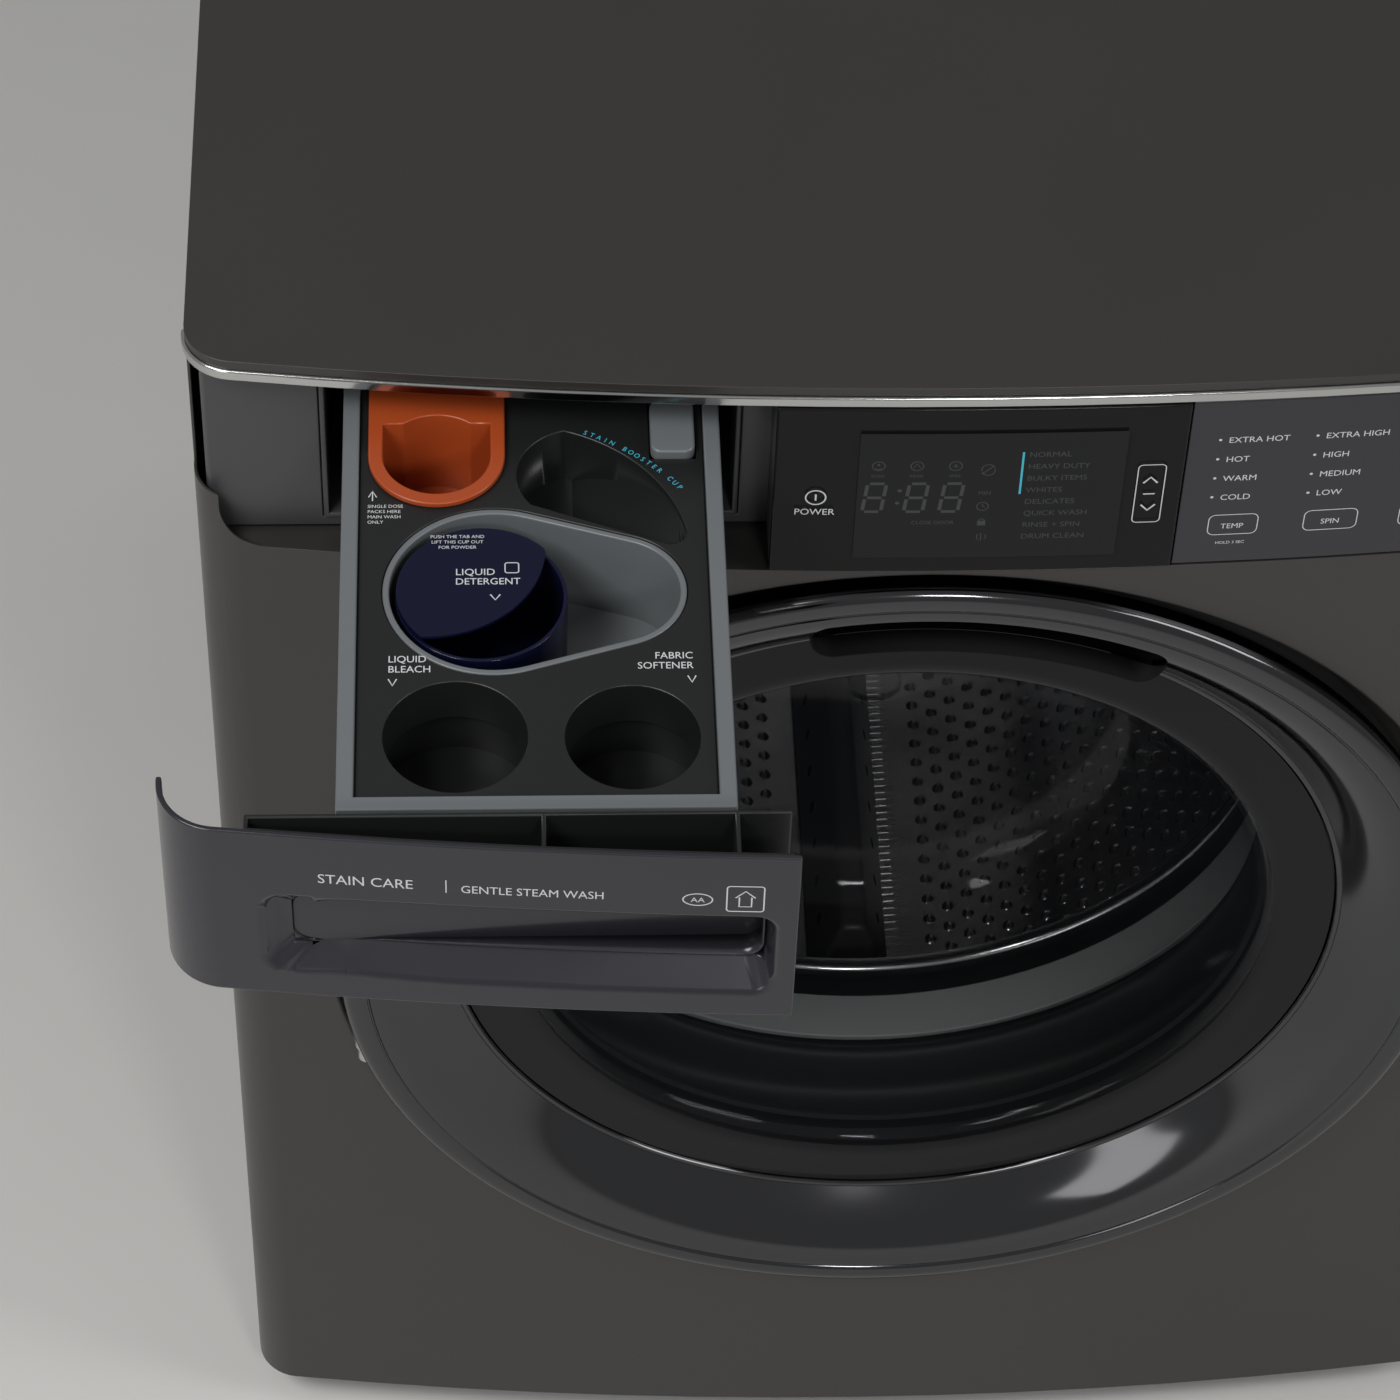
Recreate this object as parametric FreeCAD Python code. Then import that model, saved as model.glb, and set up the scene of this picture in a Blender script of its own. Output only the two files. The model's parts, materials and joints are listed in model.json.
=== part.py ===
import FreeCAD, Part
import math
import os

# Front load washing machine, millimetres, +Z up, front towards -Y.
# X = 0 is the middle of the cabinet and Z = 0 is the floor. The origin is midway between the four feet.
# The dispenser drawer is modelled pulled out to its stop, and the door is closed.

Vec = FreeCAD.Vector
X_DIR = Vec(1, 0, 0)
Y_DIR = Vec(0, 1, 0)
Z_DIR = Vec(0, 0, 1)

# ---- driving dimensions: cabinet ----
WIDTH = 686.0
DEPTH = 780.0
HEIGHT = 855.0
SHEET = 1.5
BOW = 22.0               # how far the middle of the front stands in front of its corners
CORNER_R = 24.0
PANEL_BOTTOM = 27.0
CONSOLE_BOTTOM = 735.0
CONSOLE_TOP = 843.0
PANEL_GAP = 1.0          # between the front panel's top edge and the console band
SHOULDER_RISE = 30.0     # how far the front panel's left corner rises beside the drawer
SHOULDER_W = 12.0
SHOULDER_R = 22.0
RETURN_DEPTH = 46.0      # how far the front panel wraps round the sides
STRIP_H = 6.0
STRIP_PROUD = 1.5
STRIP_GAP = 1.0
TOP_SKIRT = 12.0

# ---- driving dimensions: door ----
DOOR_Z = 440.0
RING_R = 284.7
RING_INNER_R = 228.0
RING_PROUD = 7.0
RING_DISH = 29.0         # how far the inner rim lies behind the outer rim
RING_WALL = 4.0
RIM_DEPTH = 14.0
RECESS_GAP = 5.3         # between the ring and the wall of the recess in the front panel
RECESS_DEPTH = 36.0
MOUTH_R = 216.0
GLASS_WALL = 4.0
BOWL_MOUTH_R = 190.0
BOWL_TIP_R = 148.0
BOWL_DEPTH = 155.0
SLOT_START = -12.0       # handle slot in the ring, degrees clockwise from the top
SLOT_END = 27.0
SLOT_INNER_R = 240.0
SLOT_OUTER_R = 263.0
HINGE_X = -272.0
HINGE_PIN_R = 3.5
BARREL_R = 7.0
BARREL_HALF = 75.0
LUG_THICK = 10.0
LUG_HALF = 4.5
RUN_CLEAR = 0.05         # radial clearance of a shaft or pin that turns
SEAT_CLEAR = 0.3
GAP = 0.5                # between covers that slide past each other

# ---- driving dimensions: drawer ----
DRAWER_PULL = 258.0
DRAWER_RIGHT = -77.0
FRONT_PROUD = 3.0
SKIN = 2.5
POCKET_LEFT = -290.0
POCKET_RIGHT = -90.0
POCKET_LOW = 764.0
POCKET_HIGH = 798.0
POCKET_FLARE = 13.0      # how far the pocket's mouth opens out below and to the left
POCKET_LIP = 4.0         # how far it opens out above and to the right
TRAY_LEFT = -271.5
TRAY_RIGHT = -101.5
TRAY_DEPTH = 300.0
TRAY_SETBACK = 41.0      # tray front behind the cabinet's front, drawer closed
TRAY_BOTTOM = 750.0
TRAY_TOP = 825.0
TRAY_WALL = 3.0
RIM_W = 7.5
LEDGE_W = 1.5
PLATE_DROP = 3.0
PLATE_T = 3.0
RECESS_FACE = 30.0       # console plate behind the cabinet's front
HOUSING_WALL = 2.5
HOUSING_LEFT = -283.0
HOUSING_RIGHT = -90.0
HOUSING_LOW = 742.0
HOUSING_HIGH = 836.0
HOUSING_REAR = -40.0

# ---- driving dimensions: console ----
GLASS_LEFT = -76.0
GLASS_RIGHT = 112.0
GLASS_PROUD = 1.5
FASCIA_T = 3.0
FASCIA_SEAT = FASCIA_T + 0.3

# ---- driving dimensions: tub, drum and drive ----
TUB_R = 292.0
TUB_WALL = 5.0
TUB_FRONT = -260.0
TUB_SPLIT = -30.0
TUB_REAR = 231.0
NECK_R = 212.0
NECK_LENGTH = 24.0
DRUM_R = 272.0
DRUM_WALL = 1.2
DRUM_FRONT = -237.0
DRUM_REAR = 190.0
DRUM_MOUTH_R = 208.0
LIFTER_H = 58.0
LIFTER_HALF = 23.0
LIFTER_CREST = 7.0
SHAFT_R = 15.0
BEARING_R = 31.0
HOUSING_R = 44.0
HOUSING_END = 290.0
SHAFT_END = 335.0
PULLEY_Y = 300.0
PULLEY_W = 18.0
PULLEY_R = 140.0
MOTOR_X = 190.0
MOTOR_Z = 125.0
MOTOR_R = 58.0
MOTOR_FRONT = 160.0
MOTOR_REAR = 285.0
MOTOR_SHAFT_R = 7.0
MOTOR_PULLEY_R = 11.5
BELT_T = 4.0
TUB_TRAVEL = 12.0

# ---- driving dimensions: base and running gear ----
FOOT_X = 295.0
FOOT_Y = 325.0
FOOT_R = 20.0
FOOT_H = 10.0
STEM_R = 5.0
BASE_LOW = 29.0
BASE_T = 2.0
BASE_WALL_H = 24.0
DAMPER_X = 200.0
DAMPER_Y = (-150.0, 60.0)
DAMPER_R = 14.0
DAMPER_ROD_R = 5.0
SPRING_X = 312.0
SPRING_Y = 0.0
SPRING_R = 11.0
SPRING_WALL = 4.0
RAIL_LOW = 800.0
PUMP_X = 120.0
PUMP_Y = -200.0
PUMP_R = 42.0
PUMP_H = 62.0
HOSE_R = 22.0
FILL_X = -200.0
FILL_Y = -80.0
VALVE_X = (200.0, 250.0)
VALVE_Z = 800.0
SPIGOT_R = 13.2
SPIGOT_LENGTH = 21.0
COLLAR_R = 16.0          # collar of a water inlet where it passes the rear panel
COLLAR_OUT = 1.5         # how far each collar stands behind the rear panel
DRAIN_X = 300.0
DRAIN_Z = 75.0
DRAIN_R = 11.0
DRAIN_COLLAR_R = 13.0
DRAIN_LENGTH = 28.5
GLAND_X = -240.0
GLAND_Z = 700.0
TRANSIT_X = 200.0
TRANSIT_Z = 150.0
TRANSIT_R = 12.0

# ---- worked out from the driving dimensions ----
HALF_W = WIDTH / 2
FRONT_Y = -DEPTH / 2
REAR_Y = DEPTH / 2
BOW_R = (HALF_W ** 2 + BOW ** 2) / (2 * BOW)
PANEL_TOP = CONSOLE_BOTTOM - PANEL_GAP
RETURN_Y = FRONT_Y + RETURN_DEPTH
RING_FRONT = FRONT_Y - RING_PROUD
RING_BACK = RING_FRONT + RIM_DEPTH
RING_INNER_Y = RING_FRONT + RING_DISH
RECESS_R = RING_R + RECESS_GAP
RECESS_Y = FRONT_Y + RECESS_DEPTH
FRAME_FRONT = RING_INNER_Y + RING_WALL
FRAME_T = 6.0
FRAME_R = RING_R - 8.7
HINGE_Y = RING_FRONT + 13.0
PLATE_Y = FRONT_Y + RECESS_FACE
TUB_IN_R = TUB_R - TUB_WALL

# ---- places that several pieces share ----
ACCESS_HALF_W = 130.0
ACCESS_HALF_H = 120.0
GLAND_NECK_R = 9.0
PORT_R = 8.0
HOSE_X = (-150.0, -110.0)
LATCH_X = 248.0
LATCH_Y = FRAME_FRONT - 4
LATCH_PIN_R = 2.5
HOOK_TIP = RECESS_Y + 20
LIFTER_PHASE = 90.0
SPRING_LOW = 566.0
DAMPER_EAR = 196.0
DAMPER_TOP = 150.0
HEATER_R = 4.0
HEATER_X = (-26.0, 26.0)
HEATER_Z = DOOR_Z - 278.3
SUMP_LOW = 146.0
FILL_HIGH = 690.0
BOWL_CUP_DEPTH = 50.0
BOWL_RIM = 3.0
EGG_X = -204.0
EGG_TIP_X = -152.0
EGG_Y = -90.0 + FRONT_Y + DRAWER_PULL
EGG_R = 46.0
EGG_TIP_R = 30.0
CUP_X = -209.5
CUP_R = 36.0
CUPS = ((-221.0, EGG_Y - 84.0, 31.0), (-145.0, EGG_Y - 85.0, 29.0))
CUP_NECK = 24.0          # depth of a cup's neck, below which it is wider
CUP_UNDERCUT = 3.0
CUP_DEPTH = 46.0
BOOST_DEPTH = 28.0
BOOST_FLAT_END = -168.0  # the booster cup's floor climbs from here to its tip
BOOST_LEFT_LOW = (-187.0, EGG_Y + 52.0)
BOOST_LEFT = (-192.5, EGG_Y + 76.0)
BOOST_LEFT_HIGH = (-172.0, EGG_Y + 97.0)
BOOST_BACK = (-140.0, EGG_Y + 77.0)
BOOST_TIP_HIGH = (-118.5, EGG_Y + 36.0)
BOOST_TIP = (-120.5, EGG_Y + 29.5)
BOOST_TIP_LOW = (-128.0, EGG_Y + 28.0)
PODS_X = -229.3
PODS_Y = EGG_Y + 80.0
PODS_R = 30.7
PODS_REAR = EGG_Y + 121.0
PODS_HANDLE = 20.0       # depth of the flat handle behind the basket
PODS_RIM = 4.5
TAB_LEFT = -133.0
TAB_RIGHT = -113.0
TAB_FRONT = EGG_Y + 80.0
TAB_REAR = EGG_Y + 113.0


# ---- shape helpers ----
def box(x0, x1, y0, y1, z0, z1):
    return Part.makeBox(x1 - x0, y1 - y0, z1 - z0, Vec(x0, y0, z0))


def rod(radius, start, direction, length):
    return Part.makeCylinder(radius, length, Vec(*start), direction)


def pipe(outer_r, inner_r, start, direction, length):
    return rod(outer_r, start, direction, length).cut(rod(inner_r, start, direction, length))


def tidy(shape):
    return shape.removeSplitter()


def join(first, *others):
    return tidy(first.fuse(list(others)))


def edges_along(shape, direction, keep):
    """The straight edges of a shape that run along a direction and pass the test keep(middle point)."""
    found = []
    for edge in shape.Edges:
        start, end = edge.Vertexes[0].Point, edge.Vertexes[-1].Point
        run = end - start
        if run.Length > 1e-6 and abs(abs(run.normalize() * direction) - 1) < 1e-6 and keep(edge.CenterOfMass):
            found.append(edge)
    return found


def rounded_box(x0, x1, y0, y1, z0, z1, radius, direction=Z_DIR):
    """A box whose four edges along one direction are rounded."""
    block = box(x0, x1, y0, y1, z0, z1)
    return block.makeFillet(radius, edges_along(block, direction, lambda point: True))


def turned(profile, centre=(0.0, DOOR_Z), angle=360):
    """A solid turned about an axis along Y. The profile is a list of (radius, y) corners."""
    cx, cz = centre
    corners = [Vec(cx + radius, y, cz) for radius, y in profile]
    face = Part.Face(Part.makePolygon(corners + corners[:1]))
    return face.revolve(Vec(cx, 0, cz), Y_DIR, angle)


def ribbon(path, thickness):
    """The closed outline of a strip of even thickness that follows an open path of (radius, y) points."""
    half = thickness / 2
    sides = ([], [])
    for i, (u, v) in enumerate(path):
        before = path[max(i - 1, 0)]
        after = path[min(i + 1, len(path) - 1)]
        into = math.atan2(v - before[1], u - before[0]) if i else math.atan2(after[1] - v, after[0] - u)
        out = math.atan2(after[1] - v, after[0] - u) if i < len(path) - 1 else into
        mitre = half / math.cos((out - into) / 2)
        normal = (into + out) / 2 + math.pi / 2
        for side, sign in zip(sides, (1, -1)):
            side.append((u + sign * mitre * math.cos(normal), v + sign * mitre * math.sin(normal)))
    return sides[0] + sides[1][::-1]


def hull_of_circles(first, r1, second, r2, plane="XY", level=0.0):
    """The face bounded by two circles and their outer tangents, in plane XY or XZ."""
    dx, dy = second[0] - first[0], second[1] - first[1]
    heading = math.atan2(dy, dx)
    spread = math.acos((r1 - r2) / math.hypot(dx, dy))

    def place(centre, radius, angle):
        u = centre[0] + radius * math.cos(angle)
        v = centre[1] + radius * math.sin(angle)
        return Vec(u, v, level) if plane == "XY" else Vec(u, level, v)

    a1, a2 = place(first, r1, heading + spread), place(first, r1, heading - spread)
    b1, b2 = place(second, r2, heading + spread), place(second, r2, heading - spread)
    far1, far2 = place(first, r1, heading + math.pi), place(second, r2, heading)
    edges = [
        Part.Arc(a1, far1, a2).toShape(),
        Part.makeLine(a2, b2),
        Part.Arc(b2, far2, b1).toShape(),
        Part.makeLine(b1, a1),
    ]
    return Part.Face(Part.Wire(edges))


def front_prism(inset, z0, z1, y_back=RETURN_Y):
    """The cabinet's plan outline, bowed in front with rounded corners, drawn in by inset, as a solid."""
    half = HALF_W - inset
    radius = BOW_R - inset
    y_mid = FRONT_Y + inset
    y_end = FRONT_Y + BOW_R - math.sqrt(radius ** 2 - half ** 2)
    corners = [Vec(half, REAR_Y, z0), Vec(half, y_end, z0), Vec(-half, y_end, z0), Vec(-half, REAR_Y, z0)]
    edges = [
        Part.makeLine(corners[0], corners[1]),
        Part.Arc(corners[1], Vec(0, y_mid, z0), corners[2]).toShape(),
        Part.makeLine(corners[2], corners[3]),
        Part.makeLine(corners[3], corners[0]),
    ]
    solid = Part.Face(Part.Wire(edges)).extrude(Vec(0, 0, z1 - z0))
    fronts = edges_along(solid, Z_DIR, lambda point: point.y < y_end + 1)
    solid = solid.makeFillet(CORNER_R - inset, fronts)
    return solid.common(box(-WIDTH, WIDTH, 2 * FRONT_Y, y_back, z0, z1))


def front_skin(inset, thickness, z0, z1, y_back=RETURN_Y):
    """A sheet that follows the cabinet's bowed front and wraps round its corners."""
    inner = front_prism(inset + thickness, z0 - 1, z1 + 1, y_back + 1)
    return front_prism(inset, z0, z1, y_back).cut(inner)


def both_sides(shape):
    return [shape, shape.mirror(Vec(0, 0, 0), X_DIR)]


def swept_tube(points, bend, outer_r, inner_r):
    """A tube along straight runs joined by arcs of radius bend."""
    edges = []
    last = Vec(*points[0])
    for before, corner, after in zip(points, points[1:], points[2:]):
        at = Vec(*corner)
        back, on = (Vec(*before) - at).normalize(), (Vec(*after) - at).normalize()
        half_turn = math.acos(max(-1, min(1, back * on))) / 2
        reach = bend / math.tan(half_turn)
        middle = (back + on).normalize() * (bend / math.sin(half_turn) - bend)
        edges.append(Part.makeLine(last, at + back * reach))
        edges.append(Part.Arc(at + back * reach, at + middle, at + on * reach).toShape())
        last = at + on * reach
    edges.append(Part.makeLine(last, Vec(*points[-1])))
    path = Part.Wire(edges)
    heading = Vec(*points[1]) - Vec(*points[0])

    def sweep(radius):
        ring = Part.Wire([Part.makeCircle(radius, Vec(*points[0]), heading)])
        return path.makePipeShell([ring], True, False)

    return sweep(outer_r).cut(sweep(inner_r)) if inner_r else sweep(outer_r)


def save(node, *shapes):
    shape = shapes[0] if len(shapes) == 1 else Part.makeCompound(list(shapes))
    shape.exportStep("parts/" + node + ".step")


# ---- cabinet ----
def front_panel():
    """Bowed steel front with a round recess for the door and the mouth that the seal clips to."""
    top = PANEL_TOP + SHOULDER_RISE
    panel = front_skin(0, SHEET, PANEL_BOTTOM, top)
    opening = box(-HALF_W + SHOULDER_W, 2 * HALF_W, 2 * FRONT_Y, 0, PANEL_TOP, 2 * top)
    corner = edges_along(opening, Y_DIR, lambda point: point.x < 0 and point.z < PANEL_TOP + 1)
    panel = panel.cut(opening.makeFillet(SHOULDER_R, corner))
    for low in (PANEL_BOTTOM, PANEL_TOP - SHEET):
        flange = front_prism(0, low, low + SHEET)
        panel = panel.fuse(flange)
    panel = panel.cut(rod(RECESS_R, (0, 2 * FRONT_Y, DOOR_Z), Y_DIR, DEPTH))
    dish = turned([
        (RECESS_R + SHEET, FRONT_Y - 1), (RECESS_R + SHEET, RECESS_Y + SHEET), (MOUTH_R, RECESS_Y + SHEET),
        (MOUTH_R, RECESS_Y), (RECESS_R, RECESS_Y), (RECESS_R, FRONT_Y - 1),
    ])
    panel = tidy(panel.fuse(dish.common(front_prism(0, PANEL_BOTTOM, top, 0))))
    latch_slot = box(LATCH_X - 9, LATCH_X + 12, RECESS_Y - 2, RECESS_Y + 2 * SHEET, DOOR_Z - 12, DOOR_Z + 12)
    return panel.cut(latch_slot)


def side_panel():
    return box(HALF_W - SHEET, HALF_W, RETURN_Y + GAP, REAR_Y - SHEET, PANEL_BOTTOM, CONSOLE_TOP)


def rear_panel():
    panel = box(-HALF_W, HALF_W, REAR_Y - SHEET, REAR_Y, PANEL_BOTTOM, CONSOLE_TOP)
    low, high = DOOR_Z - ACCESS_HALF_H, DOOR_Z + ACCESS_HALF_H
    cuts = [box(-ACCESS_HALF_W, ACCESS_HALF_W, REAR_Y - 5, REAR_Y + 5, low, high)]
    for x in (-TRANSIT_X, TRANSIT_X):
        for z in (DOOR_Z - TRANSIT_Z, DOOR_Z + TRANSIT_Z):
            cuts.append(rod(TRANSIT_R, (x, REAR_Y - 5, z), Y_DIR, 10))
    for x in VALVE_X:
        cuts.append(rod(COLLAR_R + SEAT_CLEAR, (x, REAR_Y - 5, VALVE_Z), Y_DIR, 10))
    cuts.append(rod(DRAIN_COLLAR_R + SEAT_CLEAR, (DRAIN_X, REAR_Y - 5, DRAIN_Z), Y_DIR, 10))
    cuts.append(rod(GLAND_NECK_R + SEAT_CLEAR, (GLAND_X, REAR_Y - 5, GLAND_Z), Y_DIR, 10))
    return panel.cut(cuts)


def rear_access_cover():
    lap = 12
    plate = rounded_box(
        -ACCESS_HALF_W - lap, ACCESS_HALF_W + lap, REAR_Y, REAR_Y + SHEET,
        DOOR_Z - ACCESS_HALF_H - lap, DOOR_Z + ACCESS_HALF_H + lap, lap, Y_DIR,
    )
    louvres = [
        box(-60, 60, REAR_Y - 1, REAR_Y + 5, DOOR_Z + step, DOOR_Z + step + 5)
        for step in range(-100, 110, 20)
    ]
    return plate.cut(louvres)


def top_panel():
    """Flat top with a turned-down skirt. The trim strip fills the front of the skirt."""
    low = HEIGHT - TOP_SKIRT
    outer = front_prism(0, low, HEIGHT, REAR_Y)
    inner = front_prism(SHEET, low - 1, HEIGHT - SHEET, REAR_Y - SHEET)
    strip_room = box(-WIDTH, WIDTH, 2 * FRONT_Y, RETURN_Y, low - 1, low + STRIP_GAP + STRIP_H)
    return outer.cut([inner, strip_room])


def top_trim_strip():
    low = HEIGHT - TOP_SKIRT + STRIP_GAP
    return front_skin(-STRIP_PROUD, STRIP_PROUD + SHEET, low, low + STRIP_H, RETURN_Y)


def base_frame():
    """Pressed base pan with turned-up walls, two cross ribs and a threaded boss over each foot."""
    half = HALF_W - SHEET
    front, rear = RETURN_Y + GAP, REAR_Y - SHEET
    high = BASE_LOW + BASE_WALL_H
    pan = box(-half, half, front, rear, BASE_LOW, high)
    room = half - BASE_T
    pan = pan.cut(box(-room, room, front + BASE_T, rear - BASE_T, BASE_LOW + BASE_T, high + 1))
    rib_h = 12
    ribs = [
        box(-room, room, y, y + BASE_T, BASE_LOW + BASE_T, BASE_LOW + rib_h) for y in (-60, 120)
    ]
    bosses = []
    bores = []
    for x in (-FOOT_X, FOOT_X):
        for y in (-FOOT_Y, FOOT_Y):
            bosses.append(rod(2 * STEM_R, (x, y, BASE_LOW), Z_DIR, 16))
            bores.append(rod(STEM_R + 0.2, (x, y, BASE_LOW - 1), Z_DIR, 20))
    sump_drain = rod(20, (-100, 0, BASE_LOW - 1), Z_DIR, 5)
    return join(pan, *ribs, *bosses).cut(bores + [sump_drain])


def levelling_feet():
    feet = []
    for x in (-FOOT_X, FOOT_X):
        for y in (-FOOT_Y, FOOT_Y):
            pad = rod(FOOT_R, (x, y, 0), Z_DIR, FOOT_H)
            feet.append(join(pad, rod(STEM_R, (x, y, FOOT_H), Z_DIR, BASE_LOW + 13 - FOOT_H)))
    return feet


def foot_locknuts():
    nuts = []
    nut_h = 6.5
    for x in (-FOOT_X, FOOT_X):
        for y in (-FOOT_Y, FOOT_Y):
            corners = [
                Vec(x + 9.2 * math.cos(k * math.pi / 3), y + 9.2 * math.sin(k * math.pi / 3), BASE_LOW - nut_h)
                for k in range(7)
            ]
            nut = Part.Face(Part.makePolygon(corners)).extrude(Vec(0, 0, nut_h))
            nuts.append(nut.cut(rod(STEM_R + 0.1, (x, y, 0), Z_DIR, 2 * BASE_LOW)))
    return nuts


def front_crossbar():
    """Channel across the cabinet between the door recess and the dispenser."""
    half = HALF_W - SHEET
    bar = box(-half, half, RETURN_Y + 6, RETURN_Y + 26, 692, PANEL_TOP - SHEET)
    return bar.cut(box(-half, half, RETURN_Y + 6 + 2, RETURN_Y + 27, 694, PANEL_TOP - SHEET - 2))


def spring_rails():
    rail = box(SPRING_X - 18, HALF_W - SHEET, -190, 190, RAIL_LOW, RAIL_LOW + 24)
    hollow = box(SPRING_X - 16, HALF_W - SHEET - 2, -191, 191, RAIL_LOW + 2, RAIL_LOW + 22)
    return both_sides(rail.cut(hollow))


# ---- console ----
def console_plate():
    """Moulded carrier behind the console, with a window for the dispenser and a pod behind the glass."""
    edge = HALF_W - FASCIA_SEAT
    low = CONSOLE_BOTTOM + 1
    room = front_prism(FASCIA_SEAT, low, CONSOLE_TOP, 0)
    plate = box(-edge, edge, PLATE_Y, PLATE_Y + 3, low, CONSOLE_TOP).common(room)
    window = box(
        HOUSING_LEFT - GAP, HOUSING_RIGHT + GAP, PLATE_Y - 5, PLATE_Y + 8,
        HOUSING_LOW - GAP, HOUSING_HIGH + GAP,
    )
    pod = front_prism(FASCIA_SEAT, low, CONSOLE_TOP, PLATE_Y)
    pod = pod.common(box(GLASS_LEFT, WIDTH, 2 * FRONT_Y, 0, 0, HEIGHT))
    hollow = front_prism(FASCIA_SEAT - 1, low + 2, CONSOLE_TOP - 2, PLATE_Y)
    hollow = hollow.common(box(GLASS_LEFT + 2, edge - 4, 2 * FRONT_Y, 0, 0, HEIGHT))
    cheek = box(-edge, -edge + 4, PLATE_Y - 6, PLATE_Y, PANEL_TOP + SHOULDER_RISE, CONSOLE_TOP).common(room)
    return join(plate.cut(window), pod.cut(hollow), cheek)


def display_glass():
    skin = front_skin(-GLASS_PROUD, GLASS_PROUD + FASCIA_T, CONSOLE_BOTTOM, CONSOLE_TOP)
    return skin.common(box(GLASS_LEFT, GLASS_RIGHT, 2 * FRONT_Y, 0, 0, HEIGHT))


def console_fascia():
    skin = front_skin(0, FASCIA_T, CONSOLE_BOTTOM, CONSOLE_TOP)
    return skin.common(box(GLASS_RIGHT + GAP, WIDTH, 2 * FRONT_Y, 0, 0, HEIGHT))


def control_board():
    """Printed circuit board on four pillars behind the glass."""
    left, right = GLASS_LEFT + 14, GLASS_RIGHT - 12
    low, high = CONSOLE_BOTTOM + 14, CONSOLE_TOP - 12
    front = PLATE_Y - 15
    board = box(left, right, front, front + 1.6, low, high)
    pillars = [
        rod(4, (x, front + 1.6, z), Y_DIR, PLATE_Y - front - 1.6)
        for x in (left + 8, right - 8) for z in (low + 8, high - 8)
    ]
    return join(board, *pillars)


# ---- dispenser ----
def dispenser_housing():
    """Box open at the front that the tray slides in, with runners, water ports and an outlet below."""
    front = PLATE_Y - 1
    wall = HOUSING_WALL
    shell = box(HOUSING_LEFT, HOUSING_RIGHT, front, HOUSING_REAR, HOUSING_LOW, HOUSING_HIGH)
    hollow = box(
        HOUSING_LEFT + wall, HOUSING_RIGHT - wall, front - 1, HOUSING_REAR - wall,
        HOUSING_LOW + wall, HOUSING_HIGH - wall,
    )
    runner_top = TRAY_BOTTOM - SEAT_CLEAR
    runners = [
        box(x, x + 8, front + 4, HOUSING_REAR - wall, HOUSING_LOW + wall, runner_top)
        for x in (TRAY_LEFT + 2, TRAY_RIGHT - 10)
    ]
    ports = [rod(PORT_R, (x, HOUSING_REAR - 1, VALVE_Z), Y_DIR, 10) for x in HOSE_X]
    outlet = rod(HOSE_R - 4, (FILL_X, FILL_Y, HOUSING_LOW - 14), Z_DIR, 15)
    bore = rod(HOSE_R - 7, (FILL_X, FILL_Y, HOUSING_LOW - 20), Z_DIR, 30)
    port_bores = [rod(PORT_R - 2, (x, HOUSING_REAR - 10, VALVE_Z), Y_DIR, 30) for x in HOSE_X]
    return join(shell.cut(hollow), *runners, *ports, outlet).cut([bore] + port_bores)


def drawn_out(shape):
    """A drawer piece is modelled closed and moved out to the drawer's stop."""
    moved = shape.copy()
    moved.translate(Vec(0, -DRAWER_PULL, 0))
    return moved


def drawer_front():
    """Outer cover of the drawer, bowed and wrapped round its left corner, with a finger pocket."""
    skin = front_skin(-FRONT_PROUD, SKIN, CONSOLE_BOTTOM, CONSOLE_TOP - GAP)
    skin = skin.common(box(-WIDTH, DRAWER_RIGHT, 2 * FRONT_Y, 0, 0, HEIGHT))
    pocket_back = PLATE_Y - 8
    pocket = box(
        POCKET_LEFT - 2, POCKET_RIGHT + 2, FRONT_Y - FRONT_PROUD, pocket_back,
        POCKET_LOW - 2, POCKET_HIGH + 2,
    )
    hollow = box(POCKET_LEFT, POCKET_RIGHT, 2 * FRONT_Y, pocket_back - 2, POCKET_LOW, POCKET_HIGH)
    pocket = pocket.common(front_prism(-FRONT_PROUD, 0, HEIGHT, 0))
    low, high = POCKET_LOW - POCKET_FLARE - 2, POCKET_HIGH + POCKET_LIP + 2
    surround = front_skin(-FRONT_PROUD, POCKET_FLARE + SKIN, low, high).common(box(
        POCKET_LEFT - POCKET_FLARE - 2, POCKET_RIGHT + POCKET_LIP + 2, 2 * FRONT_Y, RETURN_Y, 0, HEIGHT,
    ))
    return join(skin, pocket, surround).cut(hollow)


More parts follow.
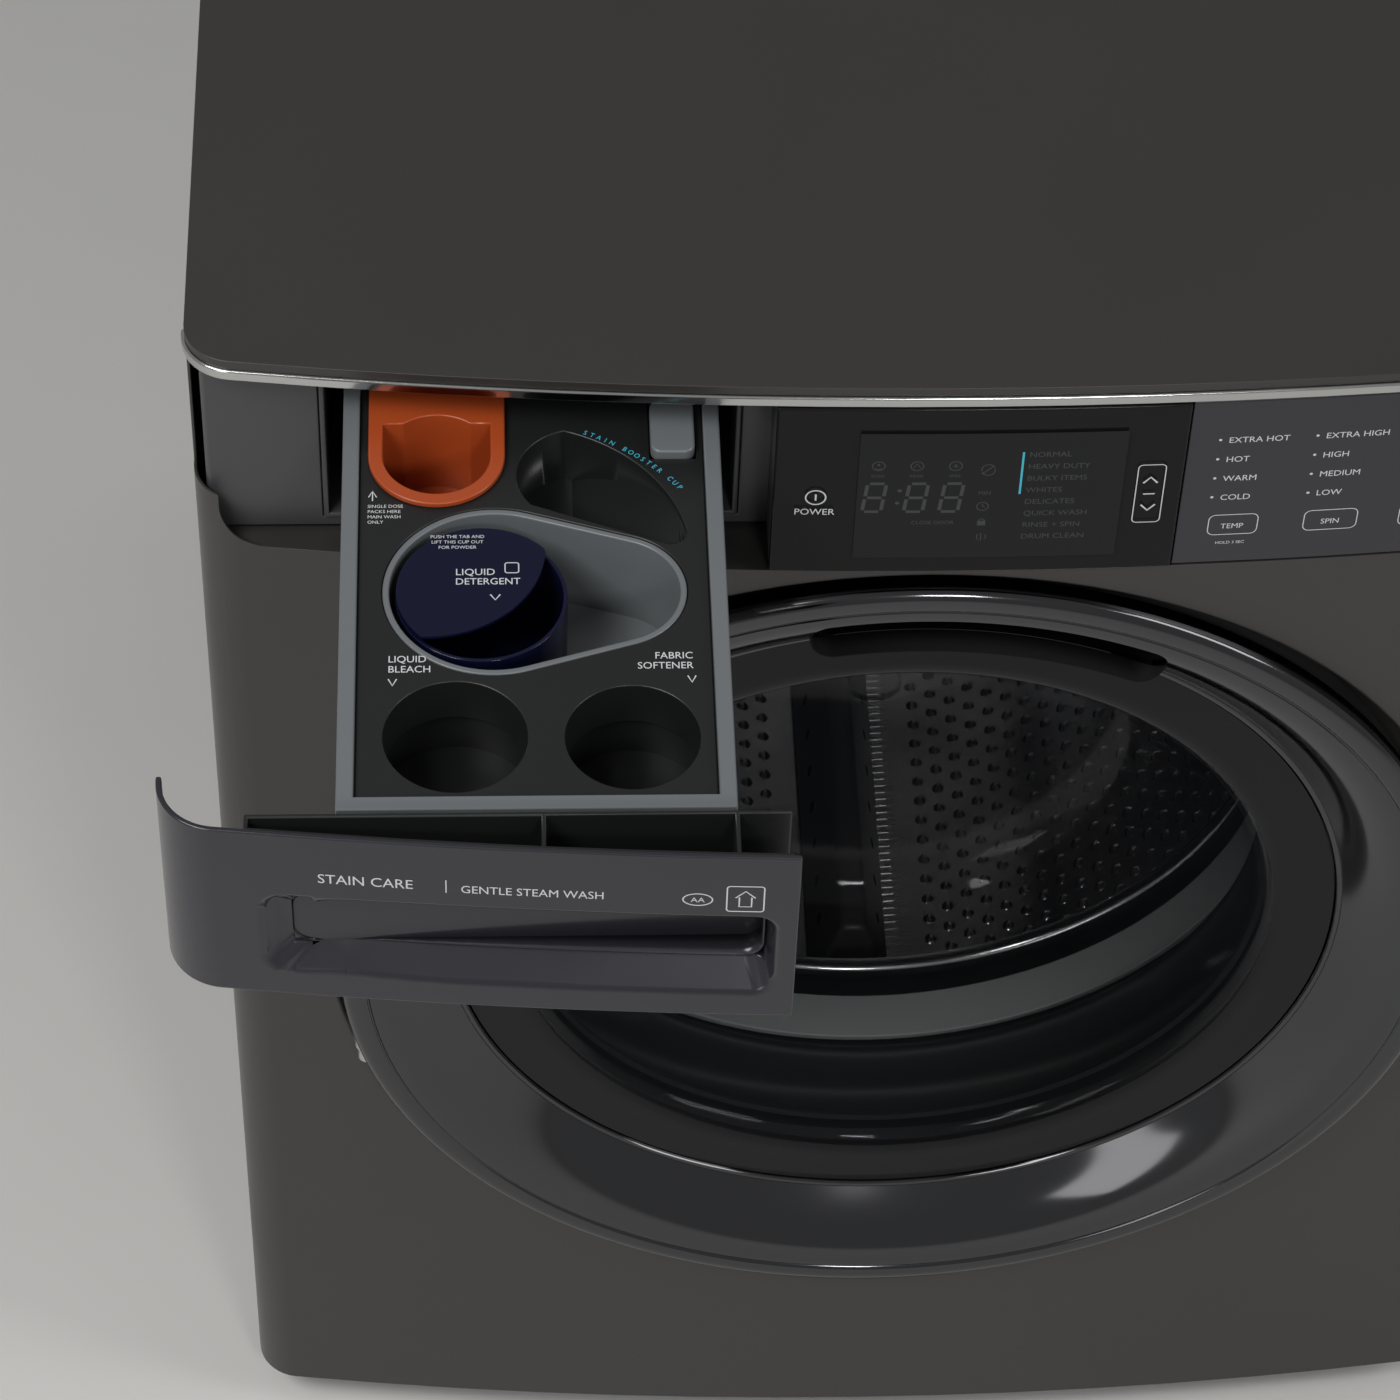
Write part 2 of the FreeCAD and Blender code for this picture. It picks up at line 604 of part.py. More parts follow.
def drawer_front_carrier():
    """Open-topped back shell of the drawer front, with ribs, and the two arms that hold the tray."""
    left, right = -HALF_W + SHOULDER_W + SHOULDER_R, DRAWER_RIGHT - 3
    low, high = CONSOLE_BOTTOM + 4, CONSOLE_TOP - 3
    back = PLATE_Y - 3
    shape = front_prism(GAP, low, high, back).common(box(left, right, 2 * FRONT_Y, 0, 0, HEIGHT))
    cells = []
    walls = [left, -185, POCKET_RIGHT - 14, right]
    for x0, x1 in zip(walls, walls[1:]):
        cells.append(box(x0 + 2, x1, 2 * FRONT_Y, back - 2, low + 2, high + 1))
    hollow = front_prism(GAP + 2, low + 2, high + 1, back - 2)
    shape = shape.cut([cell.common(hollow) for cell in cells])
    room = 2 + GAP
    shape = shape.cut(box(
        POCKET_LEFT - room, POCKET_RIGHT + room, 2 * FRONT_Y, PLATE_Y - 8 + GAP,
        POCKET_LOW - room, POCKET_HIGH + room,
    ))
    left, right = POCKET_LEFT - POCKET_FLARE - room, POCKET_RIGHT + POCKET_LIP + room
    low, high = POCKET_LOW - POCKET_FLARE - room, POCKET_HIGH + POCKET_LIP + room
    surround = front_prism(-FRONT_PROUD, low, high).cut(front_prism(POCKET_FLARE + GAP, low - 1, high + 1))
    shape = shape.cut(surround.common(box(left, right, 2 * FRONT_Y, RETURN_Y, 0, HEIGHT)))
    low, high = TRAY_BOTTOM + 8, TRAY_BOTTOM + 40
    arms = [box(x, x + 20, back - 1, FRONT_Y + TRAY_SETBACK, low, high) for x in (-240, -150)]
    return join(shape, *arms)


def drawer_tray():
    """Tray with a rim, and the egg-shaped main wash bowl standing in it."""
    front = FRONT_Y + TRAY_SETBACK
    rear = front + TRAY_DEPTH
    tray = box(TRAY_LEFT, TRAY_RIGHT, front, rear, TRAY_BOTTOM, TRAY_TOP)
    seat = TRAY_TOP - PLATE_DROP - PLATE_T
    well = box(
        TRAY_LEFT + TRAY_WALL, TRAY_RIGHT - TRAY_WALL, front + TRAY_WALL, rear - TRAY_WALL,
        TRAY_BOTTOM + TRAY_WALL, seat - 3,
    )
    mouth = box(TRAY_LEFT + RIM_W, TRAY_RIGHT - RIM_W, front + RIM_W, rear - RIM_W, seat - 4, TRAY_TOP + 1)
    ledge = box(TRAY_LEFT + RIM_W, TRAY_RIGHT - RIM_W, front + RIM_W, rear - RIM_W, seat - 3, seat)
    edge = RIM_W + LEDGE_W
    ledge = ledge.cut(box(
        TRAY_LEFT + edge, TRAY_RIGHT - edge, front + edge, rear - edge, seat - 4, seat + 1,
    ))
    foot = seat - BOWL_CUP_DEPTH
    bowl = egg(BOWL_RIM, foot, seat + PLATE_T).cut(egg(0, foot + 3, TRAY_TOP))
    stand = egg(-10, TRAY_BOTTOM + 1, foot + 1)
    return join(tray.cut([well, mouth]), ledge, bowl, stand)


def egg(offset, z0, z1):
    """The main bowl's egg outline, grown by offset, in the drawer's closed place."""
    face = hull_of_circles(
        (EGG_X, EGG_Y), EGG_R + offset, (EGG_TIP_X, EGG_Y), EGG_TIP_R + offset, "XY", z0,
    )
    return face.extrude(Vec(0, 0, z1 - z0))


def cup(x, y, radius, z_low, z_high, wall=2.0):
    outer = rod(radius + wall, (x, y, z_low), Z_DIR, z_high - z_low)
    return outer, rod(radius, (x, y, z_low + wall), Z_DIR, z_high)


def necked_cup(x, y, radius, z_low, z_high, wall=2.0):
    """A cup that is wider below its neck."""
    outer, inner = cup(x, y, radius, z_low, z_high, wall)
    shoulder = z_high - CUP_NECK
    wide = rod(radius + CUP_UNDERCUT + wall, (x, y, z_low), Z_DIR, shoulder + wall - z_low)
    room = rod(radius + CUP_UNDERCUT, (x, y, z_low + wall), Z_DIR, shoulder - z_low - wall)
    return outer.fuse(wide), inner.fuse(room)


def booster(offset, z0, z1):
    """The booster cup's leaf outline, grown by offset, in the drawer's closed place."""
    def arc(start, through, end):
        return Part.Arc(*[Vec(x, y, z0) for x, y in (start, through, end)]).toShape()
    edges = [
        arc(BOOST_LEFT_LOW, BOOST_LEFT, BOOST_LEFT_HIGH),
        arc(BOOST_LEFT_HIGH, BOOST_BACK, BOOST_TIP_HIGH),
        arc(BOOST_TIP_HIGH, BOOST_TIP, BOOST_TIP_LOW),
        Part.makeLine(Vec(*BOOST_TIP_LOW, z0), Vec(*BOOST_LEFT_LOW, z0)),
    ]
    face = Part.Face(Part.Wire(edges))
    if offset:
        face = face.makeOffset2D(offset)
    return face.extrude(Vec(0, 0, z1 - z0))


def booster_slope(deep, shallow):
    """What lies below the booster cup's climbing floor."""
    low = deep - BOOST_DEPTH
    corners = [
        Vec(BOOST_FLAT_END, 0, deep), Vec(BOOST_TIP[0], 0, shallow), Vec(0, 0, shallow), Vec(0, 0, low),
        Vec(BOOST_FLAT_END, 0, low),
    ]
    face = Part.Face(Part.makePolygon(corners + corners[:1]))
    return face.extrude(Vec(0, -DEPTH, 0))


def drawer_top_plate():
    """Black cover of the tray, with the bleach, softener and booster cups moulded in."""
    front = FRONT_Y + TRAY_SETBACK
    rear = front + TRAY_DEPTH
    low = TRAY_TOP - PLATE_DROP - PLATE_T
    high = low + PLATE_T
    edge = RIM_W + SEAT_CLEAR
    plate = box(TRAY_LEFT + edge, TRAY_RIGHT - edge, front + edge, rear - edge, low, high)
    cups = []
    wells = [egg(BOWL_RIM + SEAT_CLEAR, low - 1, high + 1)]
    for x, y, radius in CUPS:
        outer, inner = necked_cup(x, y, radius, low - CUP_DEPTH, high)
        cups.append(outer)
        wells.append(inner)
    wall = 2.0
    deep = low - BOOST_DEPTH
    cups.append(booster(wall, deep - wall, high).cut(booster_slope(deep - wall, low - wall)))
    wells.append(booster(0, deep, high + 1).cut(booster_slope(deep, low)))
    wells.append(pods_outline(PODS_RIM - GAP, PODS_REAR - PODS_HANDLE + GAP, low - 1, high + 1))
    wells.append(box(TAB_LEFT - GAP, TAB_RIGHT + GAP, TAB_FRONT - GAP, TAB_REAR + GAP, low - 1, high + 1))
    return join(plate, *cups).cut(wells)


def pods_insert():
    """Orange removable tray for single-dose packs: a flanged frame with a basket below."""
    top = TRAY_TOP - PLATE_DROP + SEAT_CLEAR
    low = top - CUP_DEPTH
    wall = 2.0
    rear = PODS_REAR - PODS_HANDLE
    flange = pods_outline(0, PODS_REAR, top, top + 3)
    basket = pods_outline(PODS_RIM, rear, low, top + 1)
    hollow = pods_outline(PODS_RIM + wall, rear - wall, low + wall, top + 9)
    return join(flange, basket).cut(hollow)


def pods_outline(inset, y_rear, z0, z1):
    """The insert's U shape: straight sides, a flat back at y_rear and a round front, drawn in by inset."""
    radius = PODS_R - inset
    front = rod(radius, (PODS_X, PODS_Y, z0), Z_DIR, z1 - z0)
    return join(front, box(PODS_X - radius, PODS_X + radius, PODS_Y, y_rear, z0, z1))


def liquid_detergent_cup():
    """Translucent cup that stands in the round end of the main bowl and lifts out."""
    low = TRAY_TOP - PLATE_DROP - PLATE_T - BOWL_CUP_DEPTH + 3 + SEAT_CLEAR
    outer, inner = cup(CUP_X, EGG_Y, CUP_R, low, TRAY_TOP - PLATE_DROP - 4)
    return outer.cut(inner)


def release_tab():
    low = TRAY_TOP - PLATE_DROP - PLATE_T
    return rounded_box(TAB_LEFT, TAB_RIGHT, TAB_FRONT, TAB_REAR, low, TRAY_TOP + 1, 5)


# ---- door ----
def sector(r0, r1, start, end, y0, y1):
    """Part of a ring about the door's axis, between two angles in degrees clockwise from the top."""
    ring = turned([(r0, y0), (r1, y0), (r1, y1), (r0, y1)], angle=end - start)
    ring.rotate(Vec(0, 0, DOOR_Z), Y_DIR, start - 90)
    return ring


def hinge_notch(depth):
    half = BARREL_HALF + LUG_THICK + 4
    return box(-RING_R - 10, HINGE_X + 14, RING_FRONT + depth, RECESS_Y, DOOR_Z - half, DOOR_Z + half)


def door_ring():
    """Dished outer ring of the door, with a finger slot through its top."""
    steps = 8
    path = []
    for i in range(steps + 1):
        share = i / steps
        radius = RING_INNER_R + (RING_R - 12 - RING_INNER_R) * share
        path.append((radius, RING_INNER_Y - (RING_DISH - 1) * math.sin(share * math.pi / 2)))
    front = path + [(RING_R - 4, RING_FRONT + 0.5), (RING_R - 0.5, RING_FRONT + 4), (RING_R, RING_BACK)]
    back = [(radius, y + RING_WALL) for radius, y in path]
    back = back + [(RING_R - 5, RING_FRONT + RING_WALL + 1), (RING_R - RING_WALL, RING_BACK)]
    ring = turned(front + back[::-1])
    slot = sector(SLOT_INNER_R, SLOT_OUTER_R, SLOT_START, SLOT_END, RING_FRONT - 5, RECESS_Y)
    return ring.cut([slot, hinge_notch(5)])


def door_inner_frame():
    """Back of the door: an annulus that carries the glass, with ears for the latch."""
    rear = FRAME_FRONT + FRAME_T
    frame = turned([
        (BOWL_MOUTH_R + 16, FRAME_FRONT), (FRAME_R - 4, FRAME_FRONT), (FRAME_R - 4, RING_BACK),
        (FRAME_R, RING_BACK), (FRAME_R, rear), (BOWL_MOUTH_R + 16, rear),
    ])
    frame = frame.cut(hinge_notch(0))
    room = box(LATCH_X - 7, LATCH_X + 7, FRAME_FRONT - 1, rear + 1, DOOR_Z - 8, DOOR_Z + 8)
    ears = [
        box(LATCH_X - 8, LATCH_X + 8, FRAME_FRONT - 8, FRAME_FRONT, z, z + 4)
        for z in (DOOR_Z - 9, DOOR_Z + 5)
    ]
    pin = rod(LATCH_PIN_R, (LATCH_X, LATCH_Y, DOOR_Z - 7), Z_DIR, 14)
    return join(frame.cut(room), *ears, pin)


def door_glass():
    """Tempered glass bowl that keeps the wash off the seal. Its flange lies on the inner frame."""
    tip_y = FRAME_FRONT + BOWL_DEPTH
    path = [
        (RING_INNER_R - 3, FRAME_FRONT - GLASS_WALL / 2), (BOWL_MOUTH_R + 8, FRAME_FRONT - GLASS_WALL / 2),
        (BOWL_MOUTH_R, FRAME_FRONT + 14), (BOWL_TIP_R + 14, tip_y - 34), (BOWL_TIP_R + 4, tip_y - 12),
        (BOWL_TIP_R - 14, tip_y - 2), (BOWL_TIP_R / 2, tip_y + 6), (BOWL_TIP_R / 8, tip_y + 7),
    ]
    outline = ribbon(path, GLASS_WALL)
    split = len(path)
    outline = outline[:split] + [(0, outline[split - 1][1]), (0, outline[split][1])] + outline[split:]
    return turned(outline)


def door_hinge_arm():
    """Barrel round the hinge pin, with a leaf that lies on the inner frame."""
    barrel = rod(BARREL_R, (HINGE_X, HINGE_Y, DOOR_Z - BARREL_HALF), Z_DIR, 2 * BARREL_HALF)
    link = box(HINGE_X - 3, HINGE_X + 14, HINGE_Y, FRAME_FRONT, DOOR_Z - BARREL_HALF, DOOR_Z + BARREL_HALF)
    low, high = DOOR_Z - BARREL_HALF, DOOR_Z + BARREL_HALF
    leaf = box(HINGE_X, HINGE_X + 40, FRAME_FRONT - 3, FRAME_FRONT, low, high)
    bore = rod(HINGE_PIN_R + RUN_CLEAR, (HINGE_X, HINGE_Y, 0), Z_DIR, HEIGHT)
    return join(barrel, link, leaf).cut(bore)


def hinge_bracket():
    """Plate on the floor of the recess with two lugs that hold the pin."""
    reach = BARREL_HALF + 1
    low, high = DOOR_Z - reach - LUG_THICK, DOOR_Z + reach + LUG_THICK
    plate = box(HINGE_X - LUG_HALF, HINGE_X + 22, RECESS_Y - 3, RECESS_Y, low, high)
    lugs = []
    for z in (DOOR_Z + reach, DOOR_Z - reach - LUG_THICK):
        nose = rod(LUG_HALF + 1, (HINGE_X, HINGE_Y, z), Z_DIR, LUG_THICK)
        lugs += [nose, box(HINGE_X - LUG_HALF, HINGE_X + LUG_HALF, HINGE_Y, RECESS_Y - 2, z, z + LUG_THICK)]
    return join(plate, *lugs).cut(rod(HINGE_PIN_R, (HINGE_X, HINGE_Y, 0), Z_DIR, HEIGHT))


def hinge_pin():
    half = BARREL_HALF + 1 + LUG_THICK
    return rod(HINGE_PIN_R, (HINGE_X, HINGE_Y, DOOR_Z - half), Z_DIR, 2 * half)


def latch_hook():
    """Sprung hook on the door that enters the lock."""
    half_t = 4
    eye = rod(6, (LATCH_X, LATCH_Y, DOOR_Z - half_t), Z_DIR, 2 * half_t)
    stem = box(LATCH_X - 3, LATCH_X + 3, LATCH_Y, HOOK_TIP, DOOR_Z - half_t, DOOR_Z + half_t)
    barb = box(LATCH_X - 3, LATCH_X + 7, HOOK_TIP - 6, HOOK_TIP, DOOR_Z - half_t, DOOR_Z + half_t)
    return join(eye, stem, barb).cut(rod(LATCH_PIN_R + RUN_CLEAR, (LATCH_X, LATCH_Y, 0), Z_DIR, HEIGHT))


def door_lock():
    front = RECESS_Y + SHEET
    body = box(LATCH_X - 18, LATCH_X + 22, front, HOOK_TIP + 12, DOOR_Z - 34, DOOR_Z + 34)
    slot = box(LATCH_X - 9, LATCH_X + 14, front - 1, HOOK_TIP + 5, DOOR_Z - 9, DOOR_Z + 9)
    return body.cut(slot)


# ---- seal, tub and drum ----
def door_seal():
    """Rubber gasket: a lip near the glass, a groove on the panel's mouth and a fold back to the tub."""
    lip_y = RECESS_Y + 4
    lip_r = bowl_radius(lip_y) + 2.3
    neck_front = TUB_FRONT - NECK_LENGTH
    path = [
        (lip_r, lip_y), (lip_r + 3, lip_y + 6), (MOUTH_R - 4, lip_y + 7), (MOUTH_R + 7, lip_y + 12),
        (MOUTH_R + 7, lip_y + 38), (NECK_R - 14, lip_y + 44), (NECK_R - 14, lip_y + 50),
        (NECK_R + 2.3, neck_front - 3), (NECK_R + 2.3, TUB_FRONT - 6),
    ]
    bellows = turned(ribbon(path, 3))
    bead = turned([
        (MOUTH_R - 5, RECESS_Y - 2.5), (MOUTH_R + 5, RECESS_Y - 2.5), (MOUTH_R + 5, RECESS_Y - 0.2),
        (MOUTH_R - 0.2, RECESS_Y - 0.2), (MOUTH_R - 0.2, RECESS_Y + SHEET + 0.2),
        (MOUTH_R + 5, RECESS_Y + SHEET + 0.2), (MOUTH_R + 5, lip_y + 10), (MOUTH_R - 5, lip_y + 10),
    ])
    return join(bellows, bead)


def bowl_radius(y):
    """Outer radius of the glass bowl between its mouth and the start of its rounded tip."""
    start, end = FRAME_FRONT + 14, FRAME_FRONT + BOWL_DEPTH - 34
    share = (y - start) / (end - start)
    return BOWL_MOUTH_R + (BOWL_TIP_R + 14 - BOWL_MOUTH_R) * share + GLASS_WALL / 2


def tub_front():
    """Front half of the outer tub: a drum wall, a front wall and the neck that the seal clips over."""
    tub = turned([
        (TUB_R, TUB_SPLIT), (TUB_R, TUB_FRONT), (NECK_R, TUB_FRONT), (NECK_R, TUB_FRONT - NECK_LENGTH),
        (NECK_R - 4, TUB_FRONT - NECK_LENGTH), (NECK_R - 4, TUB_FRONT + TUB_WALL),
        (TUB_IN_R, TUB_FRONT + TUB_WALL),
        (TUB_IN_R, TUB_SPLIT),
    ])
    flange = turned([
        (TUB_R - 1, TUB_SPLIT - 8), (TUB_R + 8, TUB_SPLIT - 8), (TUB_R + 8, TUB_SPLIT), (TUB_R - 1, TUB_SPLIT),
    ])
    sump = rod(HOSE_R - 4, (PUMP_X, PUMP_Y, SUMP_LOW), Z_DIR, 60)
    fill = rod(HOSE_R - 4, (FILL_X, FILL_Y, FILL_HIGH - 60), Z_DIR, 60)
    tub = join(tub, flange, sump, fill).cut(rod(TUB_IN_R, (0, TUB_FRONT + TUB_WALL, DOOR_Z), Y_DIR, 200))
    bores = [
        rod(HOSE_R - 7, (PUMP_X, PUMP_Y, SUMP_LOW - 1), Z_DIR, 80),
        rod(HOSE_R - 7, (FILL_X, FILL_Y, FILL_HIGH - 80), Z_DIR, 81),
    ]
    return tub.cut(bores)


def tub_rear():
    """Rear half of the tub with the bearing housing, ribs, spring ears, damper ears and motor lugs."""
    tub = turned([
        (TUB_R, TUB_SPLIT), (TUB_R, TUB_REAR), (HOUSING_R, TUB_REAR), (HOUSING_R, HOUSING_END),
        (BEARING_R, HOUSING_END), (BEARING_R, TUB_REAR - 6), (TUB_IN_R, TUB_REAR - 6), (TUB_IN_R, TUB_SPLIT),
    ])
    flange = turned([
        (TUB_R - 1, TUB_SPLIT), (TUB_R + 8, TUB_SPLIT), (TUB_R + 8, TUB_SPLIT + 8), (TUB_R - 1, TUB_SPLIT + 8),
    ])
    ribs = []
    for k in range(8):
        rib = box(HOUSING_R - 2, TUB_R - 30, TUB_REAR - 1, TUB_REAR + 20, DOOR_Z - 3, DOOR_Z + 3)
        rib.rotate(Vec(0, 0, DOOR_Z), Y_DIR, 45 * k + 22.5)
        ribs.append(rib)
    motor_lugs = [
        box(MOTOR_X - 20, MOTOR_X + 20, y, y + 20, MOTOR_Z + MOTOR_R - 8, MOTOR_Z + MOTOR_R + 60)
        for y in (180, 225)
    ]
    ears = []
    for side in (-1, 1):
        x0, x1 = sorted((side * (SPRING_X - 62), side * (SPRING_X + 10)))
        ears.append(box(x0, x1, SPRING_Y - 12, SPRING_Y + 12, SPRING_LOW - 12, SPRING_LOW))
        for y in DAMPER_Y:
            x0, x1 = sorted((side * (DAMPER_X - 10), side * (DAMPER_X + 10)))
            if y > TUB_SPLIT:
                ears.append(box(x0, x1, y - 10, y + 10, DAMPER_EAR, DAMPER_EAR + 50))
    tub = join(tub, flange, *ribs, *motor_lugs, *ears)
    tub = tub.cut(rod(TUB_IN_R, (0, TUB_SPLIT, DOOR_Z), Y_DIR, TUB_REAR - 6 - TUB_SPLIT))
    motor_seat = rod(MOTOR_R + SEAT_CLEAR, (MOTOR_X, 0, MOTOR_Z), Y_DIR, DEPTH)
    heater_holes = [rod(HEATER_R, (x, TUB_REAR - 20, HEATER_Z), Y_DIR, 40) for x in HEATER_X]
    return tub.cut([motor_seat] + heater_holes)


def tub_damper_ears():
    """Ears for the front pair of dampers, on the tub's front half."""
    ears = []
    for side in (-1, 1):
        x0, x1 = sorted((side * (DAMPER_X - 10), side * (DAMPER_X + 10)))
        for y in DAMPER_Y:
            if y < TUB_SPLIT:
                ears.append(box(x0, x1, y - 10, y + 10, DAMPER_EAR, DAMPER_EAR + 50))
    return ears


def front_counterweights():
    """Two cast blocks on the tub's front wall, above and below the neck."""
    return [
        sector(NECK_R + 14, TUB_R - 8, start, end, TUB_FRONT - 34, TUB_FRONT)
        for start, end in ((-62, 62), (118, 242))
    ]


def top_counterweight():
    block = box(-30, 150, -10, 150, DOOR_Z, DOOR_Z + TUB_R + 36)
    return block.cut(rod(TUB_R + SEAT_CLEAR, (0, -100, DOOR_Z), Y_DIR, 400))


def shaft_bearings():
    return [
        pipe(BEARING_R, SHAFT_R + RUN_CLEAR, (0, y, DOOR_Z), Y_DIR, width)
        for y, width in ((240, 16), (272, 15))
    ]


def shaft_seal():
    return pipe(BEARING_R, SHAFT_R + RUN_CLEAR, (0, TUB_REAR - 5, DOOR_Z), Y_DIR, 9)


def drum_shell():
    """Stainless drum wall, turned in at the front to a rolled mouth."""
    half = DRUM_WALL / 2
    path = [
        (DRUM_MOUTH_R, DRUM_FRONT + 10), (DRUM_MOUTH_R, DRUM_FRONT), (DRUM_R - half, DRUM_FRONT + 14),
        (DRUM_R - half, DRUM_REAR),
    ]
    return turned(ribbon(path, DRUM_WALL))


def drum_back():
    """Dished rear wall of the drum."""
    edge = DRUM_R - DRUM_WALL
    half = DRUM_WALL / 2
    path = [
        (SHAFT_R + 1, DRUM_REAR - 14), (120, DRUM_REAR - 14), (150, DRUM_REAR - half), (edge, DRUM_REAR - half),
    ]
    return turned(ribbon(path, DRUM_WALL))


def drum_spider():
    """Three-armed casting between the drum's back and the shaft."""
    hub = rod(46, (0, DRUM_REAR, DOOR_Z), Y_DIR, 26)
    arms = []
    for k in range(3):
        arm = box(0, DRUM_R - 12, DRUM_REAR, DRUM_REAR + 15, DOOR_Z - 16, DOOR_Z + 16)
        arm.rotate(Vec(0, 0, DOOR_Z), Y_DIR, 120 * k + LIFTER_PHASE)
        arms.append(arm)
    return join(hub, *arms).cut(rod(SHAFT_R, (0, 0, DOOR_Z), Y_DIR, DEPTH))


def drum_lifters():
    """Three hollow baffles that lift the wash, each a rounded ridge along the drum."""
    lifters = []
    root_r = DRUM_R - DRUM_WALL
    length = DRUM_REAR - DRUM_FRONT - 60
    for k in range(3):
        section = [
            Vec(root_r - 5, 0, -LIFTER_HALF), Vec(root_r - LIFTER_H, 0, -LIFTER_CREST),
            Vec(root_r - LIFTER_H, 0, LIFTER_CREST), Vec(root_r - 5, 0, LIFTER_HALF),
            Vec(root_r + 4, 0, LIFTER_HALF - 6), Vec(root_r + 4, 0, 6 - LIFTER_HALF),
        ]
        face = Part.Face(Part.makePolygon(section + section[:1]))
        ridge = face.extrude(Vec(0, length, 0))
        ridge = ridge.makeFillet(6, edges_along(ridge, Y_DIR, lambda point: point.x < root_r - LIFTER_H + 1))
        ridge.translate(Vec(0, DRUM_FRONT + 34, DOOR_Z))
        ridge = ridge.common(rod(root_r - SEAT_CLEAR, (0, DRUM_FRONT, DOOR_Z), Y_DIR, length + 60))
        ridge.rotate(Vec(0, 0, DOOR_Z), Y_DIR, 120 * k + LIFTER_PHASE)
        lifters.append(ridge)
    return lifters


def drum_shaft():
    return rod(SHAFT_R, (0, DRUM_REAR - 8, DOOR_Z), Y_DIR, SHAFT_END - DRUM_REAR + 8)


def drum_pulley():
    """Spoked pulley on the end of the drum shaft."""
    rim = pipe(PULLEY_R, PULLEY_R - 8, (0, PULLEY_Y, DOOR_Z), Y_DIR, PULLEY_W)
    hub = rod(34, (0, PULLEY_Y, DOOR_Z), Y_DIR, PULLEY_W + 6)
    spokes = []
    for k in range(6):
        spoke = box(0, PULLEY_R - 4, PULLEY_Y + 5, PULLEY_Y + 12, DOOR_Z - 9, DOOR_Z + 9)
        spoke.rotate(Vec(0, 0, DOOR_Z), Y_DIR, 60 * k)
        spokes.append(spoke)
    return join(rim, hub, *spokes).cut(rod(SHAFT_R, (0, 0, DOOR_Z), Y_DIR, DEPTH))


def drive_motor():
    """Motor can with end caps, held by the tub's two lugs."""
    can = rod(MOTOR_R, (MOTOR_X, MOTOR_FRONT, MOTOR_Z), Y_DIR, MOTOR_REAR - MOTOR_FRONT)
    cap = rod(MOTOR_R - 18, (MOTOR_X, MOTOR_FRONT - 12, MOTOR_Z), Y_DIR, 14)
    return join(can, cap).cut(rod(MOTOR_SHAFT_R + RUN_CLEAR, (MOTOR_X, MOTOR_REAR - 60, MOTOR_Z), Y_DIR, 80))


def motor_pulley():
    length = PULLEY_Y + PULLEY_W - MOTOR_REAR + 64
    shaft = rod(MOTOR_SHAFT_R, (MOTOR_X, MOTOR_REAR - 58, MOTOR_Z), Y_DIR, length)
    return join(shaft, rod(MOTOR_PULLEY_R, (MOTOR_X, PULLEY_Y, MOTOR_Z), Y_DIR, PULLEY_W))


def drive_belt():
    def loop(growth):
        face = hull_of_circles(
            (0, DOOR_Z), PULLEY_R + growth, (MOTOR_X, MOTOR_Z), MOTOR_PULLEY_R + growth, "XZ", PULLEY_Y + 2,
        )
        return face.extrude(Vec(0, PULLEY_W - 4, 0))
    return loop(SEAT_CLEAR + BELT_T).cut(loop(SEAT_CLEAR))


def wash_heater():
    """Two heating rods joined at the front, in the sump under the drum, with terminals behind the tub."""
    rods = [rod(HEATER_R, (x, 60, HEATER_Z), Y_DIR, TUB_REAR + 14 - 60) for x in HEATER_X]
    bridge = rod(HEATER_R, (HEATER_X[0], 62, HEATER_Z), X_DIR, HEATER_X[1] - HEATER_X[0])
    plate = box(HEATER_X[0] - 9, HEATER_X[1] + 9, TUB_REAR, TUB_REAR + 3, HEATER_Z - 8, HEATER_Z + 8)
    return join(rods[0], rods[1], bridge, plate)


# ---- suspension, water and electrics ----
def damper_cylinders():
    low = BASE_LOW + BASE_T
    bodies = []
    for x in (-DAMPER_X, DAMPER_X):
        for y in DAMPER_Y:
            body = rod(DAMPER_R, (x, y, low), Z_DIR, DAMPER_TOP - low)
            bodies.append(body.cut(rod(DAMPER_ROD_R + RUN_CLEAR, (x, y, low + 20), Z_DIR, DAMPER_TOP)))
    return bodies


def damper_rods():
    low = BASE_LOW + BASE_T + 20 + TUB_TRAVEL + 8
    return [
        rod(DAMPER_ROD_R, (x, y, low), Z_DIR, DAMPER_EAR - low)
        for x in (-DAMPER_X, DAMPER_X) for y in DAMPER_Y
    ]


def suspension_springs():
    """The envelope of each hanging spring, from the rail to the ear on the tub."""
    return [
        pipe(SPRING_R, SPRING_R - SPRING_WALL, (x, SPRING_Y, SPRING_LOW + SEAT_CLEAR), Z_DIR,
             RAIL_LOW - SPRING_LOW - 2 * SEAT_CLEAR)
        for x in (-SPRING_X, SPRING_X)
    ]


